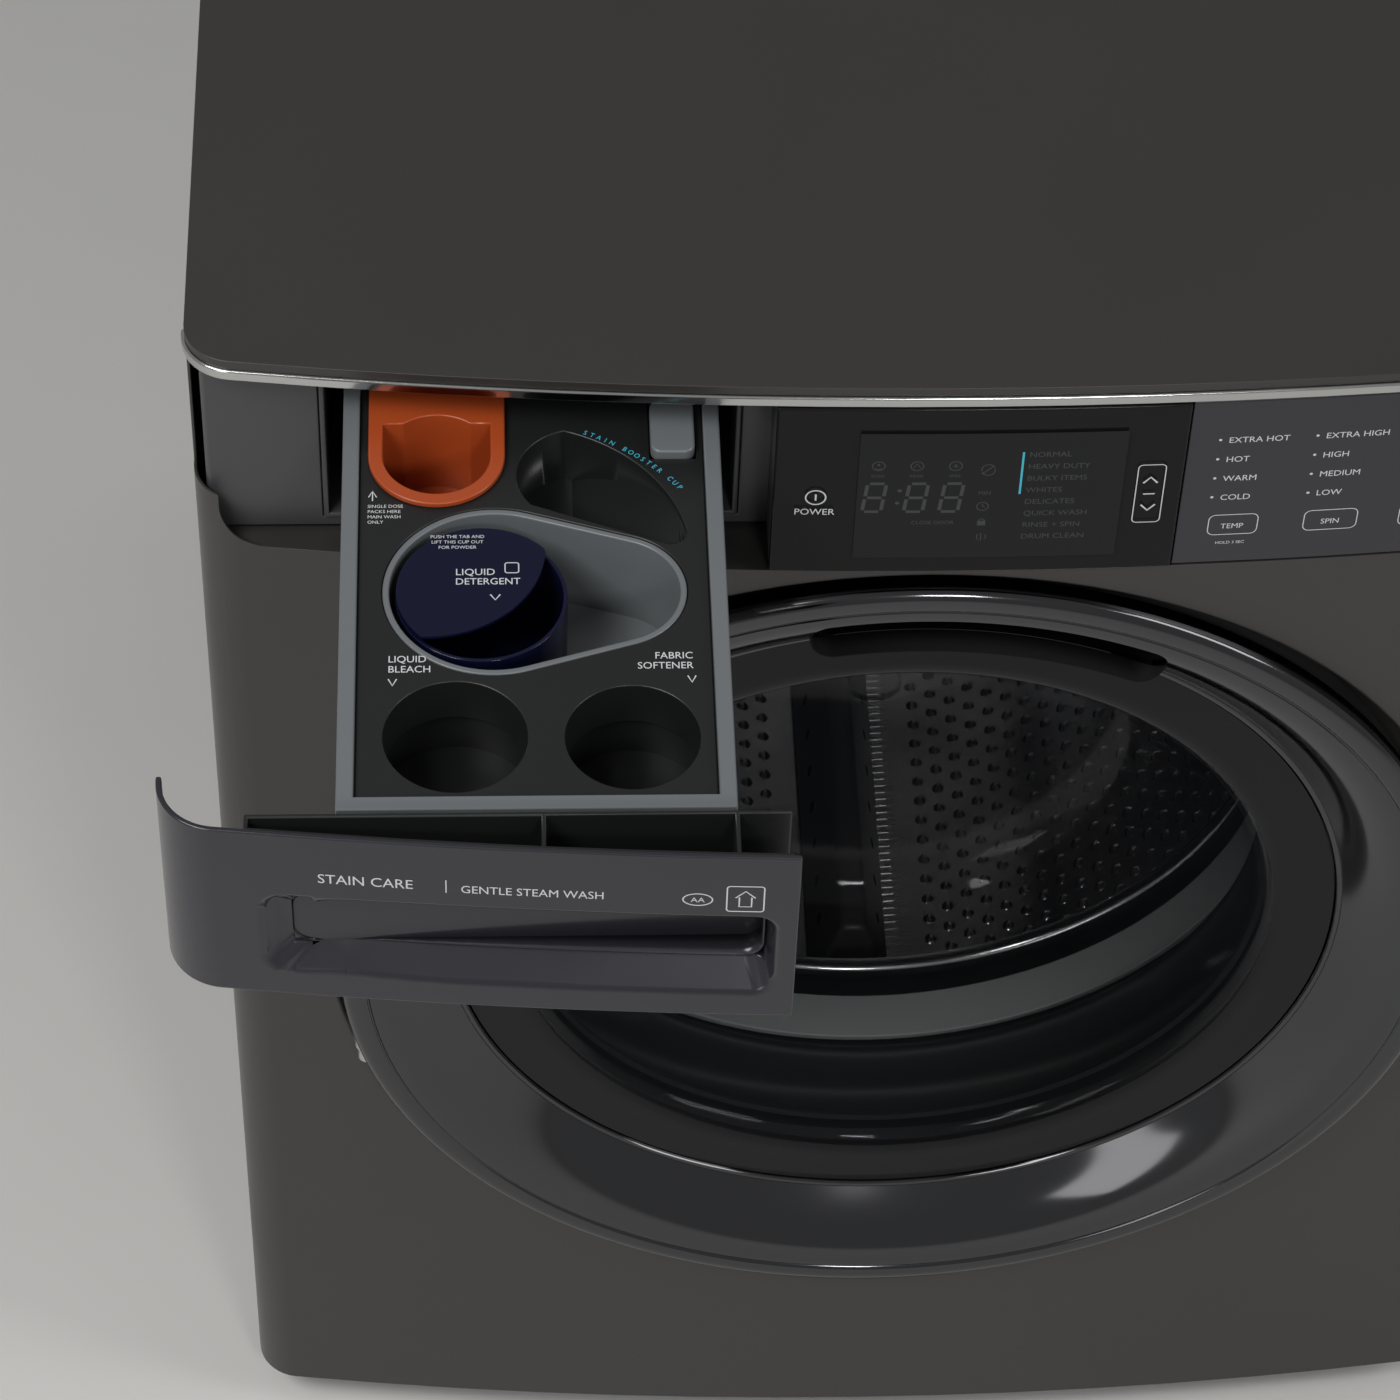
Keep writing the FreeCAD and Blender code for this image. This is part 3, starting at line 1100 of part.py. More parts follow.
def drain_pump():
    """Pump volute under the sump hose, with its motor to one side and a ported top."""
    low = BASE_LOW + BASE_T
    volute = rod(PUMP_R, (PUMP_X, PUMP_Y, low), Z_DIR, PUMP_H)
    inlet = rod(HOSE_R - 4, (PUMP_X, PUMP_Y, low + PUMP_H - 1), Z_DIR, 16)
    motor = rod(24, (PUMP_X - PUMP_R - 50, PUMP_Y, low + 30), X_DIR, 60)
    outlet = rod(DRAIN_R + 1, (PUMP_X + PUMP_R - 6, PUMP_Y, DRAIN_Z), X_DIR, 18)
    hollow = rod(PUMP_R - 4, (PUMP_X, PUMP_Y, low + 4), Z_DIR, PUMP_H - 8)
    bore = rod(HOSE_R - 7, (PUMP_X, PUMP_Y, low + PUMP_H - 8), Z_DIR, 40)
    way_out = rod(DRAIN_R - 2, (PUMP_X + PUMP_R - 12, PUMP_Y, DRAIN_Z), X_DIR, 40)
    return join(volute, inlet, motor, outlet).cut([hollow, bore, way_out])


def pump_impeller():
    """Four-bladed impeller on a short shaft that stands in the floor of the volute."""
    low = BASE_LOW + BASE_T + 4 + SEAT_CLEAR
    hub = rod(7, (PUMP_X, PUMP_Y, low), Z_DIR, 22)
    blades = []
    for k in range(2):
        blade = box(PUMP_X - 26, PUMP_X + 26, PUMP_Y - 1.5, PUMP_Y + 1.5, low + 2, low + 20)
        blade.rotate(Vec(PUMP_X, PUMP_Y, 0), Z_DIR, 90 * k)
        blades.append(blade)
    return join(hub, *blades)


def bellows_hose(x, y, low, high):
    """Flexible hose with a wider fold every few millimetres."""
    parts = [pipe(HOSE_R - 1, HOSE_R - 4 + SEAT_CLEAR, (x, y, low), Z_DIR, high - low)]
    z = low + 14
    while z < high - 14:
        parts.append(pipe(HOSE_R + 2, HOSE_R - 2, (x, y, z), Z_DIR, 4))
        z += 8
    return join(*parts)


def sump_hose():
    return bellows_hose(PUMP_X, PUMP_Y, BASE_LOW + BASE_T + PUMP_H + SEAT_CLEAR, SUMP_LOW + 12)


def fill_hose():
    return bellows_hose(FILL_X, FILL_Y, FILL_HIGH - 12, HOUSING_LOW - SEAT_CLEAR)


def drain_hose():
    bend = 40
    start = PUMP_X + PUMP_R - 6 + 18 + SEAT_CLEAR
    points = [(start, PUMP_Y, DRAIN_Z), (DRAIN_X, PUMP_Y, DRAIN_Z), (DRAIN_X, REAR_Y - 16, DRAIN_Z)]
    return swept_tube(points, bend, DRAIN_R, DRAIN_R - 2.5)


def drain_outlet():
    """Spigot through the rear panel for the drain hose outside."""
    flange = rod(DRAIN_R + 8, (DRAIN_X, REAR_Y - SHEET - 4, DRAIN_Z), Y_DIR, 4)
    collar = rod(DRAIN_COLLAR_R, (DRAIN_X, REAR_Y - SHEET - 14, DRAIN_Z), Y_DIR, SHEET + 14 + COLLAR_OUT)
    spigot = rod(DRAIN_R, (DRAIN_X, REAR_Y, DRAIN_Z), Y_DIR, COLLAR_OUT + DRAIN_LENGTH)
    bore = rod(DRAIN_R - 2.5, (DRAIN_X, REAR_Y - 40, DRAIN_Z), Y_DIR, 90)
    return join(flange, collar, spigot).cut(bore)


def inlet_valve(x):
    """Solenoid water valve: a body inside the rear panel, a coil on top and a hose thread outside."""
    inner = REAR_Y - SHEET
    body = box(x - 17, x + 17, inner - 40, inner, VALVE_Z - 17, VALVE_Z + 17)
    coil = rod(11, (x, inner - 22, VALVE_Z + 16), Z_DIR, 22)
    collar = rod(COLLAR_R, (x, inner - 1, VALVE_Z), Y_DIR, SHEET + 1 + COLLAR_OUT)
    spigot = rod(SPIGOT_R, (x, REAR_Y, VALVE_Z), Y_DIR, COLLAR_OUT + SPIGOT_LENGTH)
    bore = rod(SPIGOT_R - 3, (x, inner - 10, VALVE_Z), Y_DIR, 60)
    outlet = rod(PORT_R, (x, inner - 50, VALVE_Z), Y_DIR, 11)
    outlet_bore = rod(PORT_R - 2, (x, inner - 60, VALVE_Z), Y_DIR, 40)
    return join(body, coil, collar, spigot, outlet).cut([bore, outlet_bore])


def inlet_hoses():
    """Two hoses from the valves to the ports behind the dispenser."""
    start = REAR_Y - SHEET - 50 - SEAT_CLEAR
    end = HOUSING_REAR + 9 + SEAT_CLEAR
    hoses = []
    for x, x_end, y_turn in zip(VALVE_X, HOSE_X, (240, 200)):
        points = [(x, start, VALVE_Z), (x, y_turn, VALVE_Z), (x_end, y_turn, VALVE_Z), (x_end, end, VALVE_Z)]
        hoses.append(swept_tube(points, 30, PORT_R, PORT_R - 2))
    return hoses


def cord_gland():
    """Strain-relief bush in the rear panel where the mains lead enters."""
    flange = rod(GLAND_NECK_R + 4, (GLAND_X, REAR_Y, GLAND_Z), Y_DIR, 8)
    neck = rod(GLAND_NECK_R, (GLAND_X, REAR_Y - SHEET - 6, GLAND_Z), Y_DIR, SHEET + 7)
    clip = rod(GLAND_NECK_R + 3, (GLAND_X, REAR_Y - SHEET - 6, GLAND_Z), Y_DIR, 6)
    return join(flange, neck, clip).cut(rod(5, (GLAND_X, REAR_Y - 20, GLAND_Z), Y_DIR, 40))


os.makedirs("parts", exist_ok=True)

save("front_panel", front_panel())
RIGHT_PANEL, LEFT_PANEL = both_sides(side_panel())
save("right_side_panel", RIGHT_PANEL)
save("left_side_panel", LEFT_PANEL)
save("rear_panel", rear_panel())
save("rear_access_cover", rear_access_cover())
save("top_panel", top_panel())
save("top_trim_strip", top_trim_strip())
save("base_frame", base_frame())
save("levelling_feet", *levelling_feet())
save("foot_locknuts", *foot_locknuts())
save("front_crossbar", front_crossbar())
save("spring_rails", *spring_rails())
save("console_plate", console_plate())
save("display_glass", display_glass())
save("console_fascia", console_fascia())
save("control_board", control_board())
save("dispenser_housing", dispenser_housing())
save("door_lock", door_lock())
save("hinge_bracket", hinge_bracket())
save("hinge_pin", hinge_pin())
save("damper_cylinders", *damper_cylinders())
save("suspension_springs", *suspension_springs())
save("door_seal", door_seal())
save("drain_pump", drain_pump())
save("drain_hose", drain_hose())
save("drain_outlet", drain_outlet())
save("sump_hose", sump_hose())
save("fill_hose", fill_hose())
save("inlet_valves", *[inlet_valve(x) for x in VALVE_X])
save("inlet_hoses", *inlet_hoses())
save("cord_gland", cord_gland())

save("drawer_front", drawn_out(drawer_front()))
save("drawer_front_carrier", drawn_out(drawer_front_carrier()))
save("drawer_tray", drawn_out(drawer_tray()))
save("drawer_top_plate", drawn_out(drawer_top_plate()))
save("pods_insert", drawn_out(pods_insert()))
save("liquid_detergent_cup", drawn_out(liquid_detergent_cup()))
save("release_tab", drawn_out(release_tab()))

save("door_ring", door_ring())
save("door_inner_frame", door_inner_frame())
save("door_glass", door_glass())
save("door_hinge_arm", door_hinge_arm())
save("latch_hook", latch_hook())

save("tub_front", join(tub_front(), *tub_damper_ears()).cut(
    rod(TUB_IN_R, (0, TUB_FRONT + TUB_WALL, DOOR_Z), Y_DIR, TUB_SPLIT - TUB_FRONT - TUB_WALL)))
save("tub_rear", tub_rear())
save("counterweights", top_counterweight(), *front_counterweights())
save("shaft_bearings", *shaft_bearings())
save("shaft_seal", shaft_seal())
save("damper_rods", *damper_rods())
save("drive_motor", drive_motor())
save("drive_belt", drive_belt())
save("wash_heater", wash_heater())

save("drum_shell", drum_shell())
save("drum_back", drum_back())
save("drum_spider", drum_spider())
save("drum_lifters", *drum_lifters())
save("drum_shaft", drum_shaft())
save("drum_pulley", drum_pulley())
save("motor_pulley", motor_pulley())
save("pump_impeller", pump_impeller())
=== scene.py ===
# %% [markdown]
# # Front load washing machine
# The frame holds every CAD piece at its true place. This lesson turns that frame into a finished
# machine: it rounds the edges that a press or a mould would round, turns the round pieces on a
# lathe, adds the small detail that CAD leaves out, and gives each piece its material.
# Everything is in metres, with the floor at z = 0 and the door facing -Y.

# %% Load the frame
import json
import math

import bmesh
import bpy
from mathutils import Matrix, Vector

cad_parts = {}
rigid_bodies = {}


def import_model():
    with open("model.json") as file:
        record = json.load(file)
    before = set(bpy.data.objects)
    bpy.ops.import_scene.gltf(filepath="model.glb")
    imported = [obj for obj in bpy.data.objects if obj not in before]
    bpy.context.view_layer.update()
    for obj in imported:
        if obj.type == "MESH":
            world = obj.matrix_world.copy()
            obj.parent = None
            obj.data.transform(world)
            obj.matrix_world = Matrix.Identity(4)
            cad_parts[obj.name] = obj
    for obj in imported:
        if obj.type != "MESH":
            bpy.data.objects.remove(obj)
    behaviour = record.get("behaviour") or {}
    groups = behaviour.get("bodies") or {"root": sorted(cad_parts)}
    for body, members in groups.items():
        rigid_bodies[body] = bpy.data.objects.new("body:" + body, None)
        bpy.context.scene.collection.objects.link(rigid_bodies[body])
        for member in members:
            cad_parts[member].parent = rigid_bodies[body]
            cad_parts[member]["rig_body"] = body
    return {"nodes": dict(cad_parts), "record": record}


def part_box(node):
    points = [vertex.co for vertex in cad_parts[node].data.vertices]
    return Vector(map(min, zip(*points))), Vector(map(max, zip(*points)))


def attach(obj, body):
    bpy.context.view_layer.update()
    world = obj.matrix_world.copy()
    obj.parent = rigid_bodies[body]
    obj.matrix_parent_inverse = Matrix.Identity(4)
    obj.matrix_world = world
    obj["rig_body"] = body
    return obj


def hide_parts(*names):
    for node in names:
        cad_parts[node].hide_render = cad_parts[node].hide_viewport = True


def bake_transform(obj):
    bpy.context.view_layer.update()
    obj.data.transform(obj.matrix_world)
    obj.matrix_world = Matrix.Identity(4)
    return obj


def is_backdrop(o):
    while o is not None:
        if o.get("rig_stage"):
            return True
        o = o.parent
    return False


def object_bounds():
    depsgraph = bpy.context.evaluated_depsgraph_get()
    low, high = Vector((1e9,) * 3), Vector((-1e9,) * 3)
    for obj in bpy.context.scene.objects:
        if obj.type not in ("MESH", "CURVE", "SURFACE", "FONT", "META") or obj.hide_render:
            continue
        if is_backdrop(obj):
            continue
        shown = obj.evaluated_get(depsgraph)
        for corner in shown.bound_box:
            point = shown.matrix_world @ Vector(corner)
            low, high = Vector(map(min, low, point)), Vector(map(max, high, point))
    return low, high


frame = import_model()
NODES = frame["nodes"]
RECORD = frame["record"]
SLOT_OF = {row["node"]: row["material_slot"] for row in RECORD["subparts"]}
cad_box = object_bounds()
MM = 0.001

# %% [markdown]
# ## Sizes that the steps share
# They are read from the frame where a box gives them, so the looks follow the CAD pieces.

# %% Shared sizes
HALF_W = -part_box("left_side_panel")[0].x
BOW = 22 * MM
RING_PROUD = 7 * MM
BOW_R = (HALF_W ** 2 + BOW ** 2) / (2 * BOW)
ring_low, ring_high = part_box("door_ring")
RING_R = (ring_high.z - ring_low.z) / 2
DOOR_Z = (ring_high.z + ring_low.z) / 2
FRONT_Y = ring_low.y + RING_PROUD
plate_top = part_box("drawer_top_plate")[1].z
PULL = -258 * MM


def front_y(x):
    """Y of the cabinet's bowed front at x."""
    return FRONT_Y + x * x / (2 * BOW_R)


print("door ring radius %.4f at height %.4f, front at %.4f" % (RING_R, DOOR_Z, FRONT_Y))

# %% [markdown]
# ## Finishes
# Each finish is one Principled shader. A broad noise moves the colour and the roughness a little,
# as paint and moulded plastic do, and a fine noise gives the grain as a bump. Both noises read
# Object coordinates, so they stay with the piece. A value that doesn't vary sits on its socket.
# A stretched grain makes the lines of brushed or turned metal.

# %% Make the finishes
def finish(name, colour, rough, metal=0.0, spread=0.04, blotch=0.04, scale=9.0,
           grain=0.0, fine=900.0, stretch=(1, 1, 1), coat=0.0, level=0.5, alpha=1.0):
    material = bpy.data.materials.new(name)
    material.use_nodes = True
    nodes, links = material.node_tree.nodes, material.node_tree.links
    shader = nodes["Principled BSDF"]
    shader.inputs["Base Color"].default_value = (*colour, 1)
    shader.inputs["Metallic"].default_value = metal
    shader.inputs["Roughness"].default_value = rough
    shader.inputs["Coat Weight"].default_value = coat
    shader.inputs["Coat Roughness"].default_value = 0.06
    shader.inputs["Specular IOR Level"].default_value = level
    shader.inputs["Alpha"].default_value = alpha
    place = nodes.new("ShaderNodeTexCoord")
    broad = nodes.new("ShaderNodeTexNoise")
    broad.inputs["Scale"].default_value = scale
    broad.inputs["Detail"].default_value = 3
    links.new(place.outputs["Object"], broad.inputs["Vector"])
    if spread:
        spanned = nodes.new("ShaderNodeMapRange")
        spanned.inputs["From Min"].default_value = 0.3
        spanned.inputs["From Max"].default_value = 0.7
        spanned.inputs["To Min"].default_value = max(rough - spread, 0.02)
        spanned.inputs["To Max"].default_value = rough + spread
        links.new(broad.outputs["Fac"], spanned.inputs["Value"])
        links.new(spanned.outputs["Result"], shader.inputs["Roughness"])
    if blotch:
        mix = nodes.new("ShaderNodeMix")
        mix.data_type = "RGBA"
        mix.inputs["A"].default_value = (*[c * (1 - blotch) for c in colour], 1)
        mix.inputs["B"].default_value = (*[min(c * (1 + blotch), 1) for c in colour], 1)
        links.new(broad.outputs["Fac"], mix.inputs["Factor"])
        links.new(mix.outputs["Result"], shader.inputs["Base Color"])
    if grain:
        shape = nodes.new("ShaderNodeMapping")
        shape.inputs["Scale"].default_value = stretch
        speck = nodes.new("ShaderNodeTexNoise")
        speck.inputs["Scale"].default_value = fine
        bump = nodes.new("ShaderNodeBump")
        bump.inputs["Strength"].default_value = grain
        bump.inputs["Distance"].default_value = 0.0004
        links.new(place.outputs["Object"], shape.inputs["Vector"])
        links.new(shape.outputs["Vector"], speck.inputs["Vector"])
        links.new(speck.outputs["Fac"], bump.inputs["Height"])
        links.new(bump.outputs["Normal"], shader.inputs["Normal"])
    return material


def see_through(material, clear, solid):
    """Alpha that grows from clear, seen straight on, to solid, seen edge on."""
    nodes, links = material.node_tree.nodes, material.node_tree.links
    weight = nodes.new("ShaderNodeLayerWeight")
    weight.inputs["Blend"].default_value = 0.35
    spanned = nodes.new("ShaderNodeMapRange")
    spanned.inputs["To Min"].default_value = clear
    spanned.inputs["To Max"].default_value = solid
    links.new(weight.outputs["Facing"], spanned.inputs["Value"])
    links.new(spanned.outputs["Result"], nodes["Principled BSDF"].inputs["Alpha"])
    return material


F = {
    "cabinet_paint": finish("cabinet_paint", (0.047, 0.0445, 0.042), 0.34, 0.40, grain=0.05, fine=1500),
    "zinc_steel": finish("zinc_steel", (0.36, 0.37, 0.38), 0.42, 0.9, spread=0.08, blotch=0.12, scale=22),
    "console_gloss": finish("console_gloss", (0.027, 0.0258, 0.033), 0.25, 0.35, coat=0.18),
    "black_glass": finish("black_glass", (0.008, 0.008, 0.0085), 0.10, spread=0.0, blotch=0.0, level=0.12),
    "bright_trim": finish("bright_trim", (0.52, 0.52, 0.51), 0.14, 1.0, spread=0.02),
    "smoke_chrome": finish("smoke_chrome", (0.085, 0.085, 0.088), 0.11, 1.0, spread=0.02, blotch=0.02),
    "smoked_glass": see_through(
        finish("smoked_glass", (0.010, 0.011, 0.013), 0.04, spread=0.0, blotch=0.0), 0.10, 0.75),
    "tray_plastic": finish("tray_plastic", (0.125, 0.136, 0.142), 0.34, grain=0.05),
    "black_plastic": finish("black_plastic", (0.0105, 0.0110, 0.0110), 0.36, grain=0.06, level=0.4),
    "dark_plastic": finish("dark_plastic", (0.045, 0.045, 0.048), 0.42, grain=0.06),
    "tub_plastic": finish("tub_plastic", (0.36, 0.37, 0.37), 0.45, grain=0.05),
    "orange_plastic": finish("orange_plastic", (0.34, 0.055, 0.012), 0.30),
    "navy_plastic": finish("navy_plastic", (0.004, 0.005, 0.022), 0.16, alpha=0.90, level=0.3),
    "seal_rubber": finish("seal_rubber", (0.019, 0.020, 0.021), 0.55, grain=0.08, level=0.3),
    "stainless": finish("stainless", (0.58, 0.58, 0.59), 0.17, 1.0, spread=0.03, grain=0.03, fine=260,
                        stretch=(1, 14, 1)),
    "bright_steel": finish("bright_steel", (0.50, 0.50, 0.51), 0.24, 1.0),
    "cast_aluminium": finish("cast_aluminium", (0.50, 0.50, 0.51), 0.42, 1.0, grain=0.15, fine=500),
    "cast_block": finish("cast_block", (0.20, 0.20, 0.19), 0.85, blotch=0.15, scale=30, grain=0.35, fine=300),
    "board_green": finish("board_green", (0.02, 0.12, 0.05), 0.35),
    "valve_white": finish("valve_white", (0.66, 0.66, 0.64), 0.38),
}
glass_band = finish("glass_band", (0.008, 0.008, 0.009), 0.07, spread=0.0, blotch=0.0, level=0.16)
print_white = finish("print_white", (0.55, 0.56, 0.57), 0.5, spread=0, blotch=0)
print_dim = finish("print_dim", (0.048, 0.050, 0.050), 0.5, spread=0, blotch=0, level=0.2)
print_cyan = finish("print_cyan", (0.05, 0.42, 0.55), 0.5, spread=0, blotch=0)
display_tint = finish("display_tint", (0.0125, 0.0130, 0.0132), 0.12, spread=0, blotch=0, level=0.12)
# painted shade: a near-black, matte finish with almost no gloss, laid where the lifters' holes and the door's
# finger pocket are dark from shade
painted_shade_black = finish("painted_shade_black", (0.004, 0.004, 0.004), 0.7, spread=0, blotch=0, level=0.1)
print(len(F) + 6, "finishes")

# %% [markdown]
# ## Tools for making pieces
# `piece` puts a mesh in the scene, shades it, and hangs it on its body. `softened` copies a CAD
# piece, merges its seams and rounds its outer edges: real sheet metal has bends and moulded
# plastic has radii, and it's the thin bright line along such an edge that makes it read as solid.
# If a bevel would leave the piece's box, the piece is made again with the edges left as they are.
# `lathe` turns an outline about the door's axis, as the real rings and drums are spun.

# %% Tools for making pieces
EDGE_ANGLE = math.radians(30)      # an edge that turns more than this is rounded
MERGE = 2e-6                       # points nearer than this are one point


def piece(name, bm, body, *finishes, sharp=35.0, slot=None):
    """A finished object made from bm, which rides on body."""
    mesh = bpy.data.meshes.new(name)
    bm.to_mesh(mesh)
    bm.free()
    mesh.shade_smooth()
    mesh.set_sharp_from_angle(angle=math.radians(sharp))
    for each in finishes:
        mesh.materials.append(each)
    obj = bpy.data.objects.new(name, mesh)
    bpy.context.scene.collection.objects.link(obj)
    even = obj.modifiers.new("even_shading", "WEIGHTED_NORMAL")
    even.keep_sharp = True
    if body:
        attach(obj, body)
    return obj


def sharp_edges(bm, angle):
    return [e for e in bm.edges if e.is_manifold and e.is_convex and e.calc_face_angle(0) > angle]


def rounded_copy(node, width, segments, rounds, clamp, cutter):
    bm = bmesh.new()
    bm.from_mesh(NODES[node].data)
    bmesh.ops.remove_doubles(bm, verts=bm.verts, dist=MERGE)
    if cutter:
        bm = carved(bm, cutter())
    bmesh.ops.dissolve_limit(bm, angle_limit=math.radians(0.6), verts=bm.verts, edges=bm.edges)
    if clamp is None:
        return bm
    for test, wide, steps in rounds:
        chosen = [e for e in sharp_edges(bm, EDGE_ANGLE) if test((e.verts[0].co + e.verts[1].co) / 2, e)]
        bmesh.ops.bevel(bm, geom=chosen, offset=wide, segments=steps, profile=0.5, affect="EDGES",
                        clamp_overlap=clamp, material=-1)
    if width:
        bmesh.ops.bevel(bm, geom=sharp_edges(bm, EDGE_ANGLE), offset=width, segments=segments, profile=0.5,
                        affect="EDGES", clamp_overlap=clamp, material=-1)
    return bm


def within(bm, low, high, room=0.0002):
    return all(low[k] - room < v.co[k] < high[k] + room for v in bm.verts for k in range(3))


def softened(node, width=0.0008, segments=2, rounds=(), bend=None, cutter=None):
    """A copy of a CAD piece with rounded edges, in the piece's own finish. Each width is under half the
    piece's wall, or the two rounds of a wall would meet."""
    low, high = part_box(node)
    for clamp in (False, True, None):
        bm = rounded_copy(node, width, segments, rounds, clamp, cutter)
        if within(bm, low, high):
            break
        bm.free()
    slot = SLOT_OF[node]
    body = None if bend else NODES[node]["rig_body"]
    obj = piece(node + "_look", bm, body, F[slot], slot=slot)
    if bend:
        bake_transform(obj)
    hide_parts(node)
    return obj


def curve_through(points, steps=6):
    """A smooth open curve through the points (Catmull-Rom), as a list of points."""
    ends = [points[0], *points, points[-1]]
    made = []
    for a, b, c, d in zip(ends, ends[1:], ends[2:], ends[3:]):
        for k in range(steps):
            t = k / steps
            made.append(tuple(
                0.5 * (2 * q + (r - p) * t + (2 * p - 5 * q + 4 * r - s) * t * t
                       + (3 * q - p - 3 * r + s) * t ** 3)
                for p, q, r, s in zip(a, b, c, d)))
    made.append(tuple(points[-1]))
    return made


def walled(path, thick):
    """The closed outline of an even wall that follows a path."""
    left, right = [], []
    for i, (u, v) in enumerate(path):
        before, after = path[max(i - 1, 0)], path[min(i + 1, len(path) - 1)]
        du, dv = after[0] - before[0], after[1] - before[1]
        length = math.hypot(du, dv) or 1
        nu, nv = -dv / length * thick / 2, du / length * thick / 2
        left.append((u + nu, v + nv))
        right.append((u - nu, v - nv))
    return left + right[::-1]


def lathe(outline, steps=192):
    """A bmesh turned from a closed outline of (radius, y) in millimetres about an axis along Y."""
    centre = Vector((0, 0, DOOR_Z))
    bm = bmesh.new()
    verts = [bm.verts.new(centre + Vector((r * MM, y * MM, 0))) for r, y in outline]
    edges = [bm.edges.new((a, b)) for a, b in zip(verts, verts[1:] + verts[:1])]
    bmesh.ops.spin(bm, geom=verts + edges, cent=centre, axis=(0, 1, 0), angle=2 * math.pi,
                   steps=steps, use_merge=True)
    bmesh.ops.remove_doubles(bm, verts=bm.verts, dist=MERGE)
    bmesh.ops.recalc_face_normals(bm, faces=bm.faces)
    return bm


def radius_of(point):
    return math.hypot(point.x, point.z - DOOR_Z)


def block(x0, x1, y0, y1, z0, z1):
    """A box between six planes, in millimetres."""
    bm = bmesh.new()
    size = Matrix.Diagonal(((x1 - x0) * MM, (y1 - y0) * MM, (z1 - z0) * MM, 1))
    centre = Vector(((x0 + x1) / 2, (y0 + y1) / 2, (z0 + z1) / 2)) * MM
    bmesh.ops.create_cube(bm, size=1, matrix=Matrix.Translation(centre) @ size)
    return bm


def carved(bm, cutter):
    """bm with the shape of the bmesh cutter taken away."""
    made = []
    for name, each in (("body", bm), ("cutter", cutter)):
        mesh = bpy.data.meshes.new(name)
        each.to_mesh(mesh)
        each.free()
        made.append(bpy.data.objects.new(name, mesh))
        bpy.context.scene.collection.objects.link(made[-1])
    step = made[0].modifiers.new("cut", "BOOLEAN")
    step.object = made[1]
    step.solver = "EXACT"
    bpy.context.view_layer.update()
    shaped = bpy.data.meshes.new_from_object(made[0].evaluated_get(bpy.context.evaluated_depsgraph_get()))
    result = bmesh.new()
    result.from_mesh(shaped)
    for obj in made:
        bpy.data.objects.remove(obj)
    bpy.data.meshes.remove(shaped)
    bmesh.ops.remove_doubles(result, verts=result.verts, dist=MERGE)
    return result


print("tools ready")

# %% [markdown]
# ## Cabinet
# The body is folded steel sheet with satin metallic paint. The front panel is drawn in a press, so
# the edge of its round recess is a generous radius, and its outer edges turn over softly. The side
# panels, the top and the rear are plainer. The thin strip along the top is bright metal.

# %% Cabinet
def recess_edge(point, edge):
    return abs(radius_of(point) - 0.290) < 0.004 and point.y < -0.368


softened("front_panel", 0.0004, 2, [(recess_edge, 0.0022, 4)])
for side in ("left_side_panel", "right_side_panel"):
    softened(side, 0.0004)
softened("top_panel", 0.0004, 2)
softened("top_trim_strip", 0.0012, 3)
for node, width in (("rear_panel", 0.0003), ("rear_access_cover", 0.0003), ("base_frame", 0.0006),
                    ("front_crossbar", 0.0005), ("spring_rails", 0.0005), ("levelling_feet", 0.0015),
                    ("foot_locknuts", 0.0006), ("cord_gland", 0.0007)):
    softened(node, width)
print("cabinet done")

# %% [markdown]
# ## Door ring
# The ring is one chromed moulding: a small bead round the glass, a dish that rises outwards, a fine
# groove, and a rolled rim. An outline turned on the lathe gives all of these at once. The finger
# slot near the top is then cut through it, and a notch at the left clears the hinge.
# The dish follows a quarter sine, which starts steeply at the glass and levels out at the rim.

# %% Door ring
DISH_INNER, DISH_OUTER = 231.5, 270.5
DISH_BACK, DISH_RISE = -369.6, 26.0
DISH_STEPS = 18
SLOT_INNER, SLOT_OUTER = 240, 263
SLOT_START, SLOT_END = -12, 27     # degrees clockwise from the top
dish = []
for k in range(DISH_STEPS + 1):
    share = k / DISH_STEPS
    dish.append((DISH_INNER + share * (DISH_OUTER - DISH_INNER),
                 DISH_BACK - DISH_RISE * math.sin(share * math.pi / 2)))
front_face = [(228.0, -366.2), (228.2, -368.4), (229.0, -369.6), (230.2, -370.0), (231.0, -369.9), *dish]
groove = [(271.2, -395.1), (271.8, -395.1), (272.4, -395.9)]
rim = curve_through([(273.4, -396.5), (277.5, -397.0), (281.2, -396.4), (283.8, -394.2), (284.7, -391.0)], 5)
rim += [(284.7, -386.0), (284.2, -384.0), (282.6, -383.1), (281.0, -383.6), (280.3, -385.4)]
behind = [(280.0, -390.0), (277.5, -392.6), (270.5, -391.6)]
behind += [(r, y + 4.0) for r, y in dish[-2:1:-2]] + [(228.0, -364.2)]
ring_body = lathe(front_face + groove + rim + behind)


def bent_bar(inner, outer, start, end, y0, y1, corner, slices=30):
    """A bar that follows the ring between two angles, clockwise from the top, with rounded corners."""
    middle = (inner + outer) / 2
    half = math.radians(end - start) / 2 * middle
    bm = block(-half, half, y0, y1, inner - middle, outer - middle)
    along_y = [e for e in bm.edges if abs(e.verts[0].co.y - e.verts[1].co.y) > 1e-6]
    bmesh.ops.bevel(bm, geom=along_y, offset=corner * MM, segments=6, profile=0.5, affect="EDGES",
                    clamp_overlap=True, material=-1)
    for k in range(1, slices):
        x = (-half + corner + 0.2 + k / slices * 2 * (half - corner - 0.2)) * MM
        bmesh.ops.bisect_plane(bm, geom=list(bm.verts) + list(bm.edges) + list(bm.faces),
                               plane_co=(x, 0, 0), plane_no=(1, 0, 0))
    turn = math.radians(start + end) / 2
    for v in bm.verts:
        angle = v.co.x / (middle * MM) + turn
        reach = middle * MM + v.co.z
        v.co = Vector((reach * math.sin(angle), v.co.y, DOOR_Z + reach * math.cos(angle)))
    return bm


